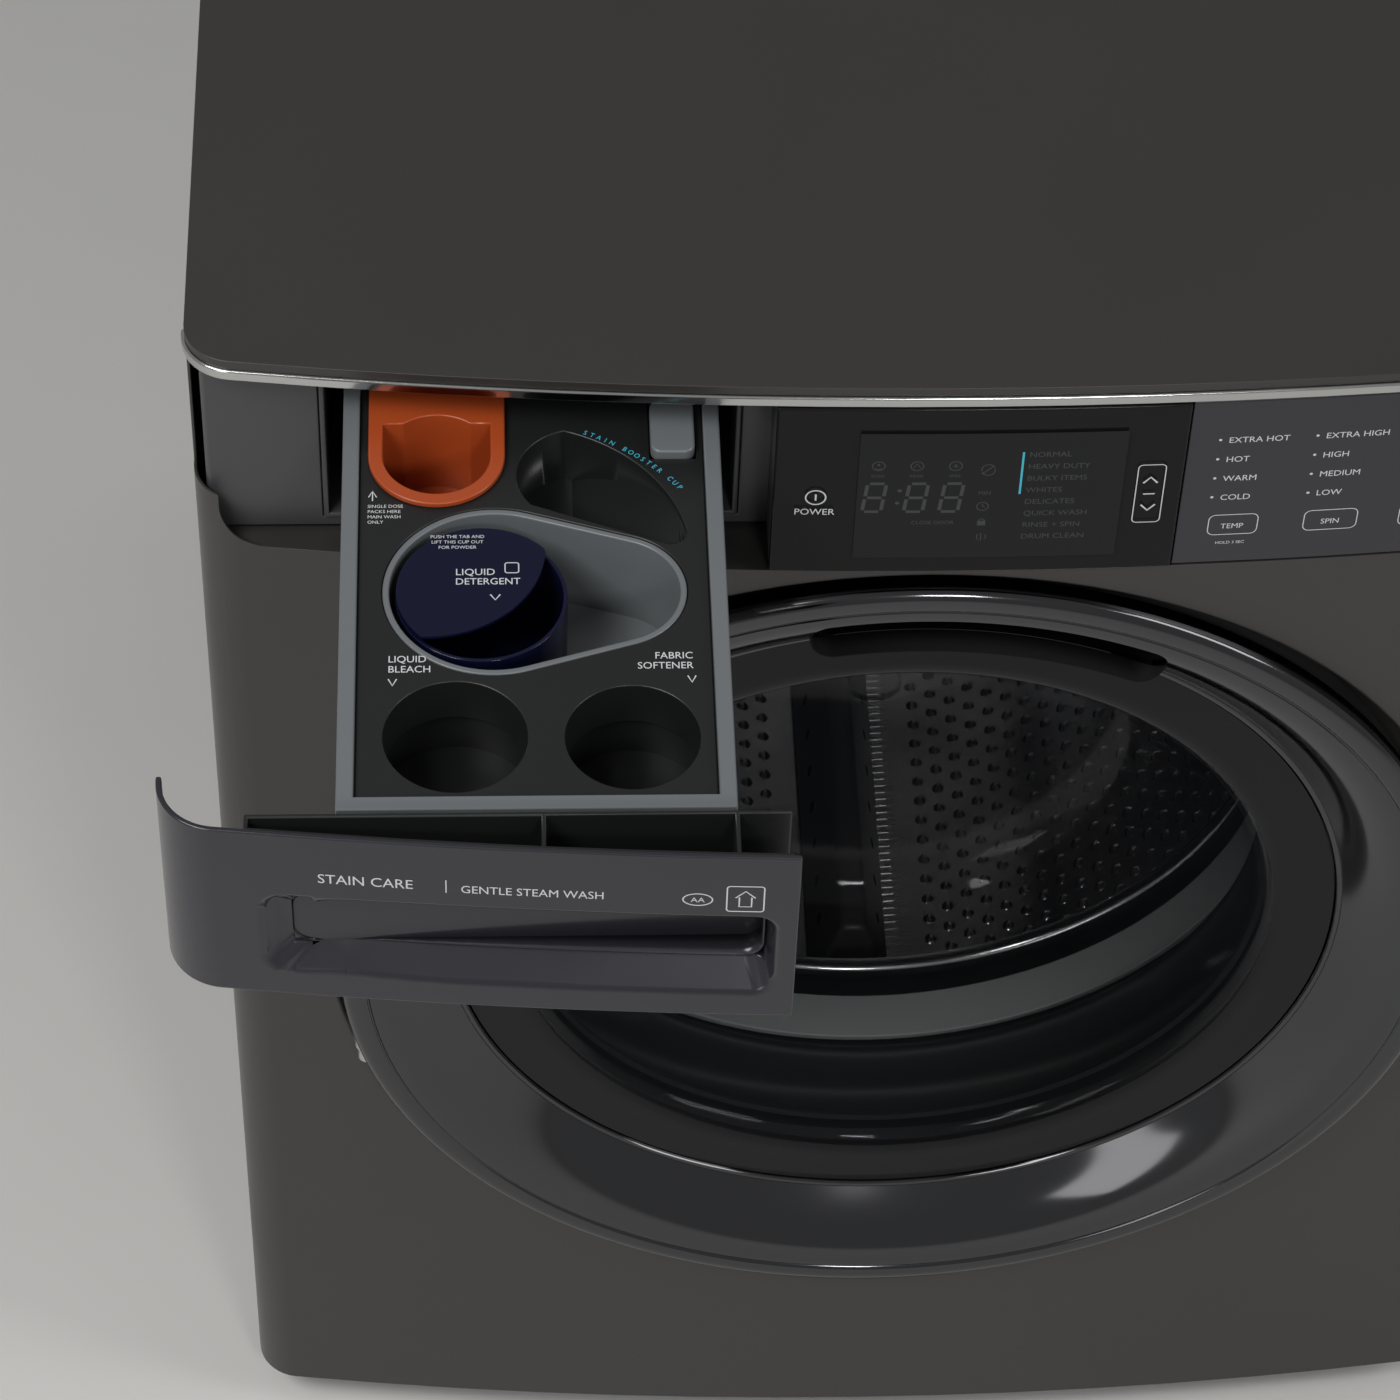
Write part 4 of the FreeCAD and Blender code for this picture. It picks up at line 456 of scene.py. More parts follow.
ring_body = carved(ring_body, bent_bar(SLOT_INNER, SLOT_OUTER, SLOT_START, SLOT_END, -420, -360, 9))
ring_body = carved(ring_body, block(-330, -258, -392, -350, 351, 529))
slot_edges = [e for e in sharp_edges(ring_body, math.radians(40))
              if all(0.2385 < radius_of(v.co) < 0.2645 and v.co.y < -0.3775 and v.co.z > 0.66 for v in e.verts)]
bmesh.ops.bevel(ring_body, geom=slot_edges, offset=0.0009, segments=3, profile=0.5, affect="EDGES",
                clamp_overlap=False, material=-1)
ring = piece("door_ring_look", ring_body, "door", F["smoke_chrome"], slot="smoke_chrome")
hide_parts("door_ring")

# The finger slot's walls are lined with a thin near-black matte shell. The pocket is real, but its near-black
# colour is painted shade, so the slot reads as a deep dark opening.
liner = bent_bar(238.9, 264.1, -12.3, 27.3, -390.5, -364.6, 10)
caps = [f for f in liner.faces if abs(f.normal.y) > 0.9]
bmesh.ops.delete(liner, geom=caps, context="FACES_ONLY")
pocket = piece("door_slot_shade_liner", liner, "door", painted_shade_black, slot="black_plastic")
wall = pocket.modifiers.new("wall", "SOLIDIFY")
wall.thickness = 0.0010
wall.offset = 1.0
print("door ring", len(ring.data.polygons), "faces")

# %% [markdown]
# ## Door glass
# The bowl is pressed from one sheet of smoked glass, even in thickness, with a small step where the
# flat flange turns into the bowl. The flange is printed black on its back to hide the glue, so it
# is a separate solid finish; the bowl gets darker where it's seen edge on, as real glass does.

# %% Door glass
bowl = curve_through([
    (227.4, -366), (212, -366), (199.5, -365.8), (194.0, -363.0), (190.6, -356.0), (186.0, -337), (172.0, -281),
    (162.5, -243), (156.5, -228.5), (146, -216.5), (130, -209.8), (100, -205.4), (60, -202.8), (14.0, -202)], 6)
bm = lathe(walled(bowl, 4.0), 160)
for f in bm.faces:
    f.material_index = 1 if radius_of(f.calc_center_median()) > 0.1965 else 0
glass = piece("door_glass_look", bm, "door", F["smoked_glass"], glass_band, slot="smoked_glass")
bm = bmesh.new()
bmesh.ops.create_cone(bm, cap_ends=True, cap_tris=False, segments=64, radius1=0.0145, radius2=0.0145,
                      depth=0.004, matrix=Matrix.Translation((0, -0.202, DOOR_Z))
                      @ Matrix.Rotation(math.pi / 2, 4, "X"))
piece("door_glass_centre", bm, "door", F["smoked_glass"], slot="smoked_glass")
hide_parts("door_glass")
softened("door_inner_frame", 0.0008)
softened("door_hinge_arm", 0.0008)
softened("latch_hook", 0.0006)
print("glass", len(glass.data.polygons), "faces")

# %% [markdown]
# ## Door seal
# The gasket is one rubber moulding. Its bead clips over the mouth of the front panel, a thin lip
# rests close to the glass, and a deep fold lets the tub move. It bends between the cabinet and the
# tub in the machine; here the fold rides on no body, and the bead rides on the root body.

# %% Door seal
fold = curve_through([
    (193.6, -350.4), (195.4, -346.6), (199.5, -344.2), (208, -343.3), (216.5, -342.0), (221.6, -338.0),
    (223.4, -330), (223.2, -318), (219.0, -311.2), (208, -307.4), (200.4, -304.4), (198.6, -301.6),
    (201.2, -297.6), (208.8, -291.4), (213.2, -286.0), (214.4, -280), (214.3, -266.2)], 5)
seal = piece("door_seal_look", lathe(walled(fold, 3.0), 160), None, F["seal_rubber"], slot="seal_rubber")
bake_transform(seal)
bead = [(211.2, -356.0), (213.0, -356.6), (219.0, -356.5), (221.0, -355.6), (221.0, -354.2), (215.8, -354.2),
        (215.8, -352.9), (221.0, -352.9), (221.0, -345.2), (219.4, -343.9), (213.0, -343.9), (211.2, -345.0)]
piece("door_seal_bead", lathe(bead, 160), "root", F["seal_rubber"], slot="seal_rubber")
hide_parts("door_seal")
print("seal", len(seal.data.polygons), "faces")

# %% [markdown]
# ## Drum
# The drum is rolled from stainless sheet: its wall is embossed with rows of small domes in the three
# fields between the lifters, and the sheet's two ends meet in a crimped seam. The domes are made
# once as a column and spun round the axis as copies. The front edge rolls in to a smooth lip.

# %% Drum
shell = [(210.2, -227.6), (208.2, -229.4), (207.9, -232.4), (209.0, -235.4), (211.6, -236.6), (216, -236.2),
         (240, -230.6), (262, -225.2), (268.4, -221.8), (271.2, -215.0), (271.4, -205)]
shell = curve_through(shell, 5) + [(271.4, y) for y in range(-180, 181, 30)] + [(271.4, 189.4)]
drum = piece("drum_shell_look", lathe(walled(shell, 1.2), 192), "drum", F["stainless"], slot="stainless")
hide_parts("drum_shell")

WALL_R = 270.8
PITCH = 2.45                       # degrees from one column of domes to the next
LIFTERS = (60.0, 180.0, 300.0)     # degrees clockwise from the top
SEAM_ANGLE = 174.4


def on_wall(angle, y, radius=WALL_R):
    """The matrix that puts a thing on the drum's inner wall, its z axis pointing to the drum's axis."""
    turn = math.radians(angle)
    out = Vector((math.sin(turn), 0, math.cos(turn)))
    spot = Vector((0, y * MM, DOOR_Z)) + out * radius * MM
    along = Vector((0, 1, 0))
    across = along.cross(-out)
    rows = Matrix((along, across, -out)).transposed().to_4x4()
    return Matrix.Translation(spot) @ rows


bm = bmesh.new()
axis = Vector((0, 0, DOOR_Z))
for lifter in LIFTERS:
    for column in range(2):
        before = set(bm.verts)
        for row in range(26):
            y = -207 + 15.0 * row + 7.5 * column
            bmesh.ops.create_cone(bm, cap_ends=True, cap_tris=False, segments=7, radius1=0.0042,
                                  radius2=0.0017, depth=0.0018,
                                  matrix=on_wall(lifter + 9 + PITCH * column, y, WALL_R - 0.8))
        fresh = [v for v in bm.verts if v not in before]
        edges = {e for v in fresh for e in v.link_edges}
        faces = {f for v in fresh for f in v.link_faces}
        bmesh.ops.spin(bm, geom=fresh + list(edges) + list(faces), cent=axis, axis=(0, 1, 0),
                       angle=math.radians(20 * 2 * PITCH), steps=20, use_duplicate=True)
domes = piece("drum_domes", bm, "drum", F["stainless"], slot="stainless", sharp=60)

bm = bmesh.new()
for row in range(76):
    bmesh.ops.create_cube(bm, size=1, matrix=on_wall(SEAM_ANGLE, -206 + 5.2 * row, WALL_R - 0.7)
                          @ Matrix.Diagonal((0.0030, 0.0070, 0.0016, 1)))
bmesh.ops.create_cube(bm, size=1, matrix=on_wall(SEAM_ANGLE, -10, WALL_R - 0.4)
                      @ Matrix.Diagonal((0.396, 0.013, 0.0010, 1)))
bmesh.ops.bevel(bm, geom=list(bm.edges), offset=0.0003, segments=1, profile=0.5, affect="EDGES",
                clamp_overlap=True, material=-1)
piece("drum_seam", bm, "drum", F["stainless"], slot="stainless")

softened("drum_lifters", 0.0035, 3)
# The lifters' holes are not cut: flat near-black discs on each flank are painted shade, standing in for the
# dark seen through real holes.
bm = bmesh.new()
for lifter in LIFTERS:
    for hand in (-1, 1):
        for row in range(12):
            flank = Matrix.Translation((0, hand * 0.0171, 0.0252)) @ Matrix.Rotation(
                hand * math.atan2(16, 53) - hand * math.pi / 2, 4, "X")
            bmesh.ops.create_circle(bm, cap_ends=True, segments=14, radius=0.0036,
                                    matrix=on_wall(lifter, -170 + 28 * row) @ flank)
piece("drum_lifter_hole_shade", bm, "drum", painted_shade_black, slot="black_plastic")

back = [(16, 176.2), (40, 176.2), (44, 173.6), (58, 173.2), (64, 176.2), (116, 176.4), (122, 176.9),
        (147, 188.0), (153, 189.3), (176, 189.4), (182, 186.6), (196, 186.4), (202, 189.4), (240, 189.4),
        (269.8, 189.4)]
rear = piece("drum_back_look", lathe(walled(curve_through(back, 4), 1.2), 160), "drum", F["stainless"],
             slot="stainless")
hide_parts("drum_back")
for node, width in (("drum_spider", 0.002), ("drum_shaft", 0.0008), ("drum_pulley", 0.0012)):
    softened(node, width)
print("drum", len(domes.data.polygons), "dome faces")

# %% [markdown]
# ## Dispenser drawer
# The drawer's front is a thick bowed moulding with the same metallic finish as the console. Its
# finger pocket has a mouth that flares out, more below and at the left, where the fingers come in.
# The flare is a cutter shaped like a funnel with rounded corners, and a thin liner behind it gives
# the pocket the same rounded corners all the way back.

# %% Drawer front
DRAWER_PROUD = 0.0030
POCKET_BACK = -0.6280
FLARE = 13.0


def drawer_y(x):
    """Y of the pulled drawer's front at x."""
    return front_y(x) + PULL - DRAWER_PROUD


def funnel(near, far, corner, slices=16):
    """A tapered bar between two rectangles (x0, x1, z0, z1, depth), depth counted from the bowed
    front of the drawer, with rounded corners. It stops at the pocket's back."""
    bm = block(near[0], near[1], near[4], far[4], near[2], near[3])
    for v in bm.verts:
        if v.co.y > (near[4] + far[4]) / 2 * MM:
            v.co.x = (far[0] if v.co.x < (near[0] + near[1]) / 2 * MM else far[1]) * MM
            v.co.z = (far[2] if v.co.z < (near[2] + near[3]) / 2 * MM else far[3]) * MM
    edges = [e for e in bm.edges if abs(e.verts[0].co.y - e.verts[1].co.y) > 1e-4]
    bmesh.ops.bevel(bm, geom=edges, offset=corner * MM, segments=6, profile=0.5, affect="EDGES",
                    clamp_overlap=True, material=-1)
    for k in range(1, slices):
        x = (near[0] + (near[1] - near[0]) * k / slices) * MM
        bmesh.ops.bisect_plane(bm, geom=list(bm.verts) + list(bm.edges) + list(bm.faces),
                               plane_co=(x, 0, 0), plane_no=(1, 0, 0))
    for v in bm.verts:
        v.co.y = min(drawer_y(v.co.x) + v.co.y, POCKET_BACK - 0.0002)
    return bm


def mouth():
    return funnel((-311.0, -83.7, 743.0, 804.4, -8.0), (-290.2, -89.8, 763.8, 798.2, FLARE), 9)


def mouth_edge(point, edge):
    return -0.308 < point.x < -0.084 and 0.747 < point.z < 0.805 and point.y < drawer_y(point.x) + 0.0012


front = softened("drawer_front", 0.0009, 3, [(mouth_edge, 0.0022, 4)], cutter=mouth)
liner = funnel((-290.0, -90.0, 764.0, 798.0, 9.5), (-290.0, -90.0, 764.0, 798.0, 60.0), 9)
caps = [f for f in liner.faces if abs(f.normal.y) > 0.8]
bmesh.ops.delete(liner, geom=caps, context="FACES_ONLY")
inside = piece("drawer_pocket_liner", liner, "drawer", F["console_gloss"], slot="console_gloss")
wall = inside.modifiers.new("wall", "SOLIDIFY")
wall.thickness = 0.0008
wall.offset = -1.0
softened("drawer_front_carrier", 0.0008)
print("drawer front", len(front.data.polygons), "faces")

# %% [markdown]
# ## Tray and its cups
# The tray is a grey moulding with an egg-shaped bowl for powder. A black plate covers it and carries
# the bleach, softener and booster cups. The orange insert for packs and the translucent navy cup for
# liquid lift out. The navy cup has a lid over its rear part, so the lid's edge shows as an arc.

# %% Tray and its cups
softened("drawer_tray", 0.0009, 2)
softened("drawer_top_plate", 0.0008, 2)
softened("pods_insert", 0.0008, 3)
softened("liquid_detergent_cup", 0.0006, 2)


def tab_corner(point, edge):
    upright = abs(edge.verts[0].co.z - edge.verts[1].co.z) > 0.003
    return upright and point.x < -0.130 and point.y < -0.396


softened("release_tab", 0.0012, 3, [(tab_corner, 0.0095, 3)])

CUP = (-209.5, -480.0)
LID_R = 37.6
ARC_CENTRE = (CUP[0] - 24.0, CUP[1] + 25.6)
ARC_R = 52.5
bm = bmesh.new()
bmesh.ops.create_circle(bm, cap_ends=True, segments=144, radius=ARC_R * MM,
                        matrix=Matrix.Translation((ARC_CENTRE[0] * MM, ARC_CENTRE[1] * MM, plate_top - 0.0016)))
for v in bm.verts:
    arm = Vector((v.co.x - CUP[0] * MM, v.co.y - CUP[1] * MM))
    if arm.length > LID_R * MM:
        arm = arm.normalized() * LID_R * MM
        v.co.x, v.co.y = CUP[0] * MM + arm.x, CUP[1] * MM + arm.y
bmesh.ops.remove_doubles(bm, verts=bm.verts, dist=4e-4)
grown = bmesh.ops.extrude_face_region(bm, geom=list(bm.faces))
risen = [g for g in grown["geom"] if isinstance(g, bmesh.types.BMVert)]
bmesh.ops.translate(bm, vec=(0, 0, 0.0015), verts=risen)
bmesh.ops.recalc_face_normals(bm, faces=bm.faces)
top_edges = [e for e in bm.edges if e.is_convex and e.calc_face_angle(0) > 1
             and all(v.co.z > plate_top - 0.0005 for v in e.verts)]
bmesh.ops.bevel(bm, geom=top_edges, offset=0.0005, segments=2, profile=0.5, affect="EDGES",
                clamp_overlap=True, material=-1)
piece("detergent_cup_lid", bm, "detergent_cup", F["navy_plastic"], slot="navy_plastic")
print("tray and cups done")

# %% [markdown]
# ## Console
# The console is a dark moulded carrier with a black glass display in the middle and a glossy fascia
# at the right. The prints are laid a few hundredths of a millimetre proud of the surface they're on.

# %% Console
softened("display_glass", 0.0012, 3)
softened("console_fascia", 0.0010, 2)
softened("console_plate", 0.0008)
for node, width in (("control_board", 0.0003), ("dispenser_housing", 0.0008), ("door_lock", 0.0010),
                    ("hinge_bracket", 0.0008), ("hinge_pin", 0.0006)):
    softened(node, width)
glass_proud = front_y(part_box("display_glass")[0].x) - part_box("display_glass")[0].y
glass_proud = max(glass_proud, FRONT_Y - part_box("display_glass")[0].y)
fascia_proud = front_y(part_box("console_fascia")[0].x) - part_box("console_fascia")[0].y
print("glass stands %.2f mm proud, fascia %.2f mm" % (glass_proud * 1000, fascia_proud * 1000))

# %% [markdown]
# ## Tools for prints
# A print is drawn flat in millimetres, as strokes, discs and letters, and then laid on its surface:
# the bowed front, where y comes from x, or the level plate. A stroke is one side of the line,
# extruded across to the other side. Letters start as a text curve, which becomes a mesh.

# %% Tools for prints
class Sheet:
    """Flat shapes gathered in one mesh, to be laid on a surface."""

    def __init__(self):
        self.bm = bmesh.new()

    def stroke(self, path, wide, closed=False):
        path = [Vector(p) for p in path]
        sides = ([], [])
        for i, p in enumerate(path):
            before = path[i - 1] if i or closed else p
            after = path[(i + 1) % len(path)] if i < len(path) - 1 or closed else p
            along = (after - before).normalized()
            normal = Vector((-along.y, along.x)) * wide / 2
            sides[0].append(p + normal)
            sides[1].append(p - normal)
        verts = [self.bm.verts.new((p.x, p.y, 0)) for p in sides[0]]
        pairs = list(zip(verts, verts[1:] + verts[:1])) if closed else list(zip(verts, verts[1:]))
        edges = [self.bm.edges.new(pair) for pair in pairs]
        made = bmesh.ops.extrude_edge_only(self.bm, edges=edges)["geom"]
        fresh = [g for g in made if isinstance(g, bmesh.types.BMVert)]
        by_start = {}
        for v in fresh:
            mate = next(e.other_vert(v) for e in v.link_edges if e.other_vert(v) in verts)
            by_start[mate] = v
        for v, p in zip(verts, sides[1]):
            by_start[v].co = (p.x, p.y, 0)
        return self

    def circle(self, x, y, radius, wide, steps=24, squash=1.0):
        turns = [2 * math.pi * k / steps for k in range(steps)]
        points = [(x + radius * math.cos(turn), y + squash * radius * math.sin(turn)) for turn in turns]
        return self.stroke(points, wide, closed=True)

    def arc(self, x, y, radius, start, end, wide, steps=14):
        turns = [math.radians(start + (end - start) * k / steps) for k in range(steps + 1)]
        points = [(x + radius * math.cos(turn), y + radius * math.sin(turn)) for turn in turns]
        return self.stroke(points, wide)

    def disc(self, x, y, radius, steps=18):
        bmesh.ops.create_circle(self.bm, cap_ends=True, segments=steps, radius=radius,
                                matrix=Matrix.Translation((x, y, 0)))
        return self

    def bar(self, x0, y0, x1, y1):
        bmesh.ops.create_grid(self.bm, x_segments=6, y_segments=1, size=0.5,
                              matrix=Matrix.Translation(((x0 + x1) / 2, (y0 + y1) / 2, 0))
                              @ Matrix.Diagonal((x1 - x0, y1 - y0, 1, 1)))
        return self

    def letters(self, text, x, y, cap, align="LEFT", width=1.0, turn=0.0, weight=0.0):
        """Text with capitals of height cap, its baseline at y."""
        curve = bpy.data.curves.new("letters", "FONT")
        curve.body = text
        curve.size = cap / 0.72
        curve.align_x = align
        curve.offset = weight
        curve.resolution_u = 3
        obj = bpy.data.objects.new("letters", curve)
        bpy.context.scene.collection.objects.link(obj)
        bpy.context.view_layer.update()
        mesh = bpy.data.meshes.new_from_object(obj.evaluated_get(bpy.context.evaluated_depsgraph_get()))
        mesh.transform(Matrix.Translation((x, y, 0)) @ Matrix.Rotation(turn, 4, "Z")
                       @ Matrix.Diagonal((width, 1, 1, 1)))
        self.bm.from_mesh(mesh)
        bpy.data.objects.remove(obj)
        bpy.data.curves.remove(curve)
        bpy.data.meshes.remove(mesh)
        return self

    def rounded(self, x0, y0, x1, y1, corner, wide):
        points = []
        for cx, cy, start in ((x1 - corner, y1 - corner, 0), (x0 + corner, y1 - corner, 90),
                              (x0 + corner, y0 + corner, 180), (x1 - corner, y0 + corner, 270)):
            for k in range(6):
                turn = math.radians(start + 18 * k)
                points.append((cx + corner * math.cos(turn), cy + corner * math.sin(turn)))
        return self.stroke(points, wide, closed=True)

    def lay_on_front(self, name, proud, body, ink, slot, pull=0.0):
        for v in self.bm.verts:
            x = v.co.x * MM
            v.co = Vector((x, front_y(x) - proud - 0.00006 + pull, v.co.y * MM))
        return self.placed(name, body, ink, slot, (0, -1, 0))

    def lay_on_plate(self, name, body, ink, slot, level=None):
        for v in self.bm.verts:
            v.co = Vector((v.co.x * MM, v.co.y * MM, (level or plate_top) + 0.00006))
        return self.placed(name, body, ink, slot, (0, 0, 1))

    def placed(self, name, body, ink, slot, facing):
        for f in self.bm.faces:
            f.normal_update()
            if f.normal.dot(Vector(facing)) < 0:
                f.normal_flip()
        return piece(name, self.bm, body, ink, slot=slot)


print("print tools ready")

# %% [markdown]
# ## Prints on the display
# The display shows a time, a column of cycle names with a bar beside the chosen group, and small
# icons. The selector at its right has an arrow up and an arrow down. All words are plain ones.

# %% Prints on the display
def eight(sheet, x, z, wide=8.6, high=18.6, slant=0.10, ink=1.7):
    """A seven-segment eight, leaning right: every bar of the figure, as on a display that is off."""
    spots = {"a": ((0, 1), (1, 1)), "g": ((0, 0.5), (1, 0.5)), "d": ((0, 0), (1, 0)), "f": ((0, 0.5), (0, 1)),
             "e": ((0, 0), (0, 0.5)), "b": ((1, 0.5), (1, 1)), "c": ((1, 0), (1, 0.5))}
    for name in "abcdefg":
        (u0, v0), (u1, v1) = spots[name]
        du, dv = (u1 - u0) * wide, (v1 - v0) * high
        length = math.hypot(du, dv)
        trim = 1.0 / length
        ends = [(u0 + (u1 - u0) * t, v0 + (v1 - v0) * t) for t in (trim, 1 - trim)]
        sheet.stroke([(x + u * wide + slant * v * high, z + v * high) for u, v in ends], ink)


white = Sheet()
for x in (-34.9, -15.7, 0.5):
    eight(white, x, 777.4)
white.disc(-19.0, 783.2, 1.0).disc(-18.2, 791.4, 1.0)
CYCLES = ("NORMAL", "HEAVY DUTY", "BULKY ITEMS", "WHITES", "DELICATES", "QUICK WASH", "RINSE + SPIN",
          "DRUM CLEAN")
for k, words in enumerate(CYCLES):
    white.letters(words, 39.6, 812.9 - 7.77 * k, 3.4, weight=0.003)
for x in (-28.7, -11.1, 6.5):
    white.circle(x, 807.6, 2.9, 0.5)
white.arc(-28.7, 807.0, 1.6, 200, 340, 0.5).disc(-28.7, 808.4, 0.7)
white.stroke([(-12.6, 806.6), (-11.1, 809.2), (-9.6, 806.6)], 0.5).stroke([(5.2, 807.6), (7.8, 807.6)], 0.5)
white.stroke([(6.5, 806.3), (6.5, 808.9)], 0.5)
for x, words in ((-28.7, "SOAK"), (-11.1, "RINSE"), (6.5, "SPIN")):
    white.letters(words, x, 800.2, 1.9, "CENTER", 0.95)
white.letters("MIN", 20.9, 788.4, 2.5, "CENTER", 0.95, weight=0.003)
white.arc(21.6, 805.2, 3.1, 20, 200, 0.5).arc(21.6, 804.4, 3.1, 200, 380, 0.5)
white.stroke([(18.9, 802.2), (23.8, 807.2)], 0.5)
white.circle(20.5, 780.6, 2.7, 0.5).stroke([(20.5, 782.2), (20.5, 780.6), (21.8, 780.0)], 0.45)
white.bar(18.8, 767.8, 22.6, 770.9).arc(20.7, 770.9, 1.3, 0, 180, 0.5)
white.stroke([(19.3, 758.6), (19.3, 761.4), (21.1, 762.6), (21.1, 757.4), (19.3, 758.6)], 0.45)
white.arc(21.4, 760.0, 2.0, -45, 45, 0.45)
white.letters("CLOSE DOOR", -1.9, 768.9, 2.4, "CENTER", 0.95, weight=0.002)
white.lay_on_front("display_prints", glass_proud, "root", print_dim, "black_glass")
white = Sheet()
white.circle(-56.5, 786.6, 4.6, 0.7, 32).bar(-56.9, 784.6, -56.1, 788.8)
white.letters("POWER", -56.8, 775.2, 4.1, "CENTER", 0.95, weight=0.006)
white.rounded(90.6, 767.6, 103.4, 805.8, 2.2, 0.5)
white.stroke([(93.6, 793.8), (96.9, 797.6), (100.2, 793.8)], 0.9)
white.stroke([(93.8, 779.4), (97.1, 775.6), (100.4, 779.4)], 0.9)
white.bar(94.2, 786.2, 99.6, 786.9)
white.lay_on_front("selector_prints", glass_proud, "root", print_white, "black_glass")
chosen = Sheet().bar(36.5, 788.6, 37.5, 816.2)
chosen.lay_on_front("display_bar", glass_proud, "root", print_cyan, "black_glass")
window = Sheet().bar(-37.8, 746.2, 84.3, 828.6)
window.lay_on_front("display_window", glass_proud - 0.00003, "root", display_tint, "black_glass")

# %% [markdown]
# ## Prints on the fascia
# Four columns of options with a dot beside each, a field below every column that steps through it,
# and the round start field at the right. The rows share one pitch, so the columns stay level.

# %% Prints on the fascia
TOP_ROW = 817.9
ROW_PITCH = 12.65
white = Sheet()
for k, words in enumerate(("EXTRA HOT", "HOT", "WARM", "COLD")):
    z = TOP_ROW - ROW_PITCH * k
    white.letters(words, 130.9, z - 2.1, 3.7, weight=0.003)
    white.disc(127.1, z, 0.75)
white.rounded(127.4, 754.3, 150.5, 767.6, 3.2, 0.45)
white.letters("TEMP", 138.6, 758.4, 3.4, "CENTER", 0.95, weight=0.003)
white.letters("HOLD 3 SEC", 138.8, 747.9, 1.9, "CENTER", 0.95)
COLUMNS = ((172.0, ("EXTRA HIGH", "HIGH", "MEDIUM", "LOW"), "SPIN"),
           (217.0, ("HEAVY", "NORMAL", "LIGHT", "GENTLE"), "SOIL"),
           (262.0, ("RINSE +", "PREWASH", "DELAY", "SIGNAL"), "EXTRAS"))
for x, words, title in COLUMNS:
    for k, word in enumerate(words):
        z = TOP_ROW - ROW_PITCH * k
        white.letters(word, x + 3.8, z - 2.1, 3.7, weight=0.003)
        white.disc(x, z, 0.75)
    white.rounded(x + 0.3, 754.3, x + 25.4, 767.6, 3.2, 0.45)
    white.letters(title, x + 12.8, 758.4, 3.4, "CENTER", 0.95, weight=0.003)
white.circle(316, 788, 11.0, 0.8, 48).stroke([(313, 782.5), (313, 793.5), (322, 788), (313, 782.5)], 0.8)
white.letters("START", 316, 768.0, 3.6, "CENTER", 0.95, weight=0.003)
white.lay_on_front("fascia_prints", fascia_proud, "root", print_white, "console_gloss")
print("console prints done")

# %% [markdown]
# ## Prints on the drawer
# The drawer's front has one line of words and two plain icons. The plate names each cup.

# %% Prints on the drawer
drawer_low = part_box("drawer_front")[0].y
drawer_proud = front_y(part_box("drawer_front")[1].x) + PULL - drawer_low
white = Sheet()
white.letters("STAIN CARE", -278.8, 813.3, 6.1, width=0.86, weight=0.004)
white.bar(-225.2, 812.0, -224.7, 820.4)
white.letters("GENTLE STEAM WASH", -218.9, 812.6, 5.0, width=0.86, weight=0.002)
white.circle(-119.8, 814.3, 6.2, 0.6, 40, 0.62)
white.letters("AA", -119.8, 812.6, 3.2, "CENTER")
white.rounded(-107.6, 807.0, -92.0, 823.6, 1.4, 0.6)
white.stroke([(-104.0, 816.0), (-99.8, 820.4), (-95.6, 816.0)], 0.7)
white.stroke([(-102.4, 816.4), (-102.4, 810.2), (-97.2, 810.2), (-97.2, 816.4)], 0.7)
white.lay_on_front("drawer_front_prints", drawer_proud, "drawer", print_white, "console_gloss", PULL)

white = Sheet()
for k, words in enumerate(("SINGLE DOSE", "PACKS HERE", "MAIN WASH", "ONLY")):
    white.letters(words, -260.0, -430.0 - 3.2 * k, 1.9)
white.stroke([(-259.6, -423.6), (-257.8, -419.8), (-256.0, -423.6)], 0.5)
white.stroke([(-257.8, -420.0), (-257.8, -425.8)], 0.5)
white.letters("LIQUID", -250.2, -521.8, 3.9, width=0.95, weight=0.004)
white.letters("BLEACH", -250.2, -527.6, 3.9, width=0.95, weight=0.004)
white.stroke([(-249.9, -531.4), (-248.1, -535.2), (-246.3, -531.4)], 0.6)
white.letters("FABRIC", -117.7, -520.7, 3.9, "RIGHT", 0.95, weight=0.004)
white.letters("SOFTENER", -117.7, -526.4, 3.9, "RIGHT", 0.95, weight=0.004)
white.stroke([(-120.4, -530.6), (-118.6, -534.4), (-116.8, -530.6)], 0.6)
WORD_CENTRE = (-209.3, -484.6)     # the booster cup's words follow an arc about this point
WORD_R = 109.6
booster = Sheet()
for k, sign in enumerate("STAIN BOOSTER CUP"):
    turn = math.radians(64.8 - 1.76 * k)
    booster.letters(sign, WORD_CENTRE[0] + WORD_R * math.cos(turn), WORD_CENTRE[1] + WORD_R * math.sin(turn),
                    2.7, "CENTER", 0.9, turn - math.pi / 2, weight=0.003)
booster.lay_on_plate("booster_prints", "drawer", print_cyan, "black_plastic")
white.lay_on_plate("plate_prints", "drawer", print_white, "black_plastic")
white = Sheet()
white.letters("LIQUID", -221.0, -470.8, 3.9, weight=0.004)
white.letters("DETERGENT", -221.0, -476.4, 3.9, width=0.95, weight=0.004)
for k, words in enumerate(("PUSH THE TAB AND", "LIFT THIS CUP OUT", "FOR POWDER")):
    white.letters(words, -220.0, -448.6 - 3.2 * k, 1.9, "CENTER")
white.stroke([(-205.6, -482.4), (-203.4, -485.6), (-201.2, -482.4)], 0.6)
white.rounded(-199.0, -469.6, -193.0, -463.6, 1.0, 0.5)
white.lay_on_plate("cup_lid_prints", "detergent_cup", print_white, "navy_plastic", plate_top - 0.0001)
print("drawer prints done")
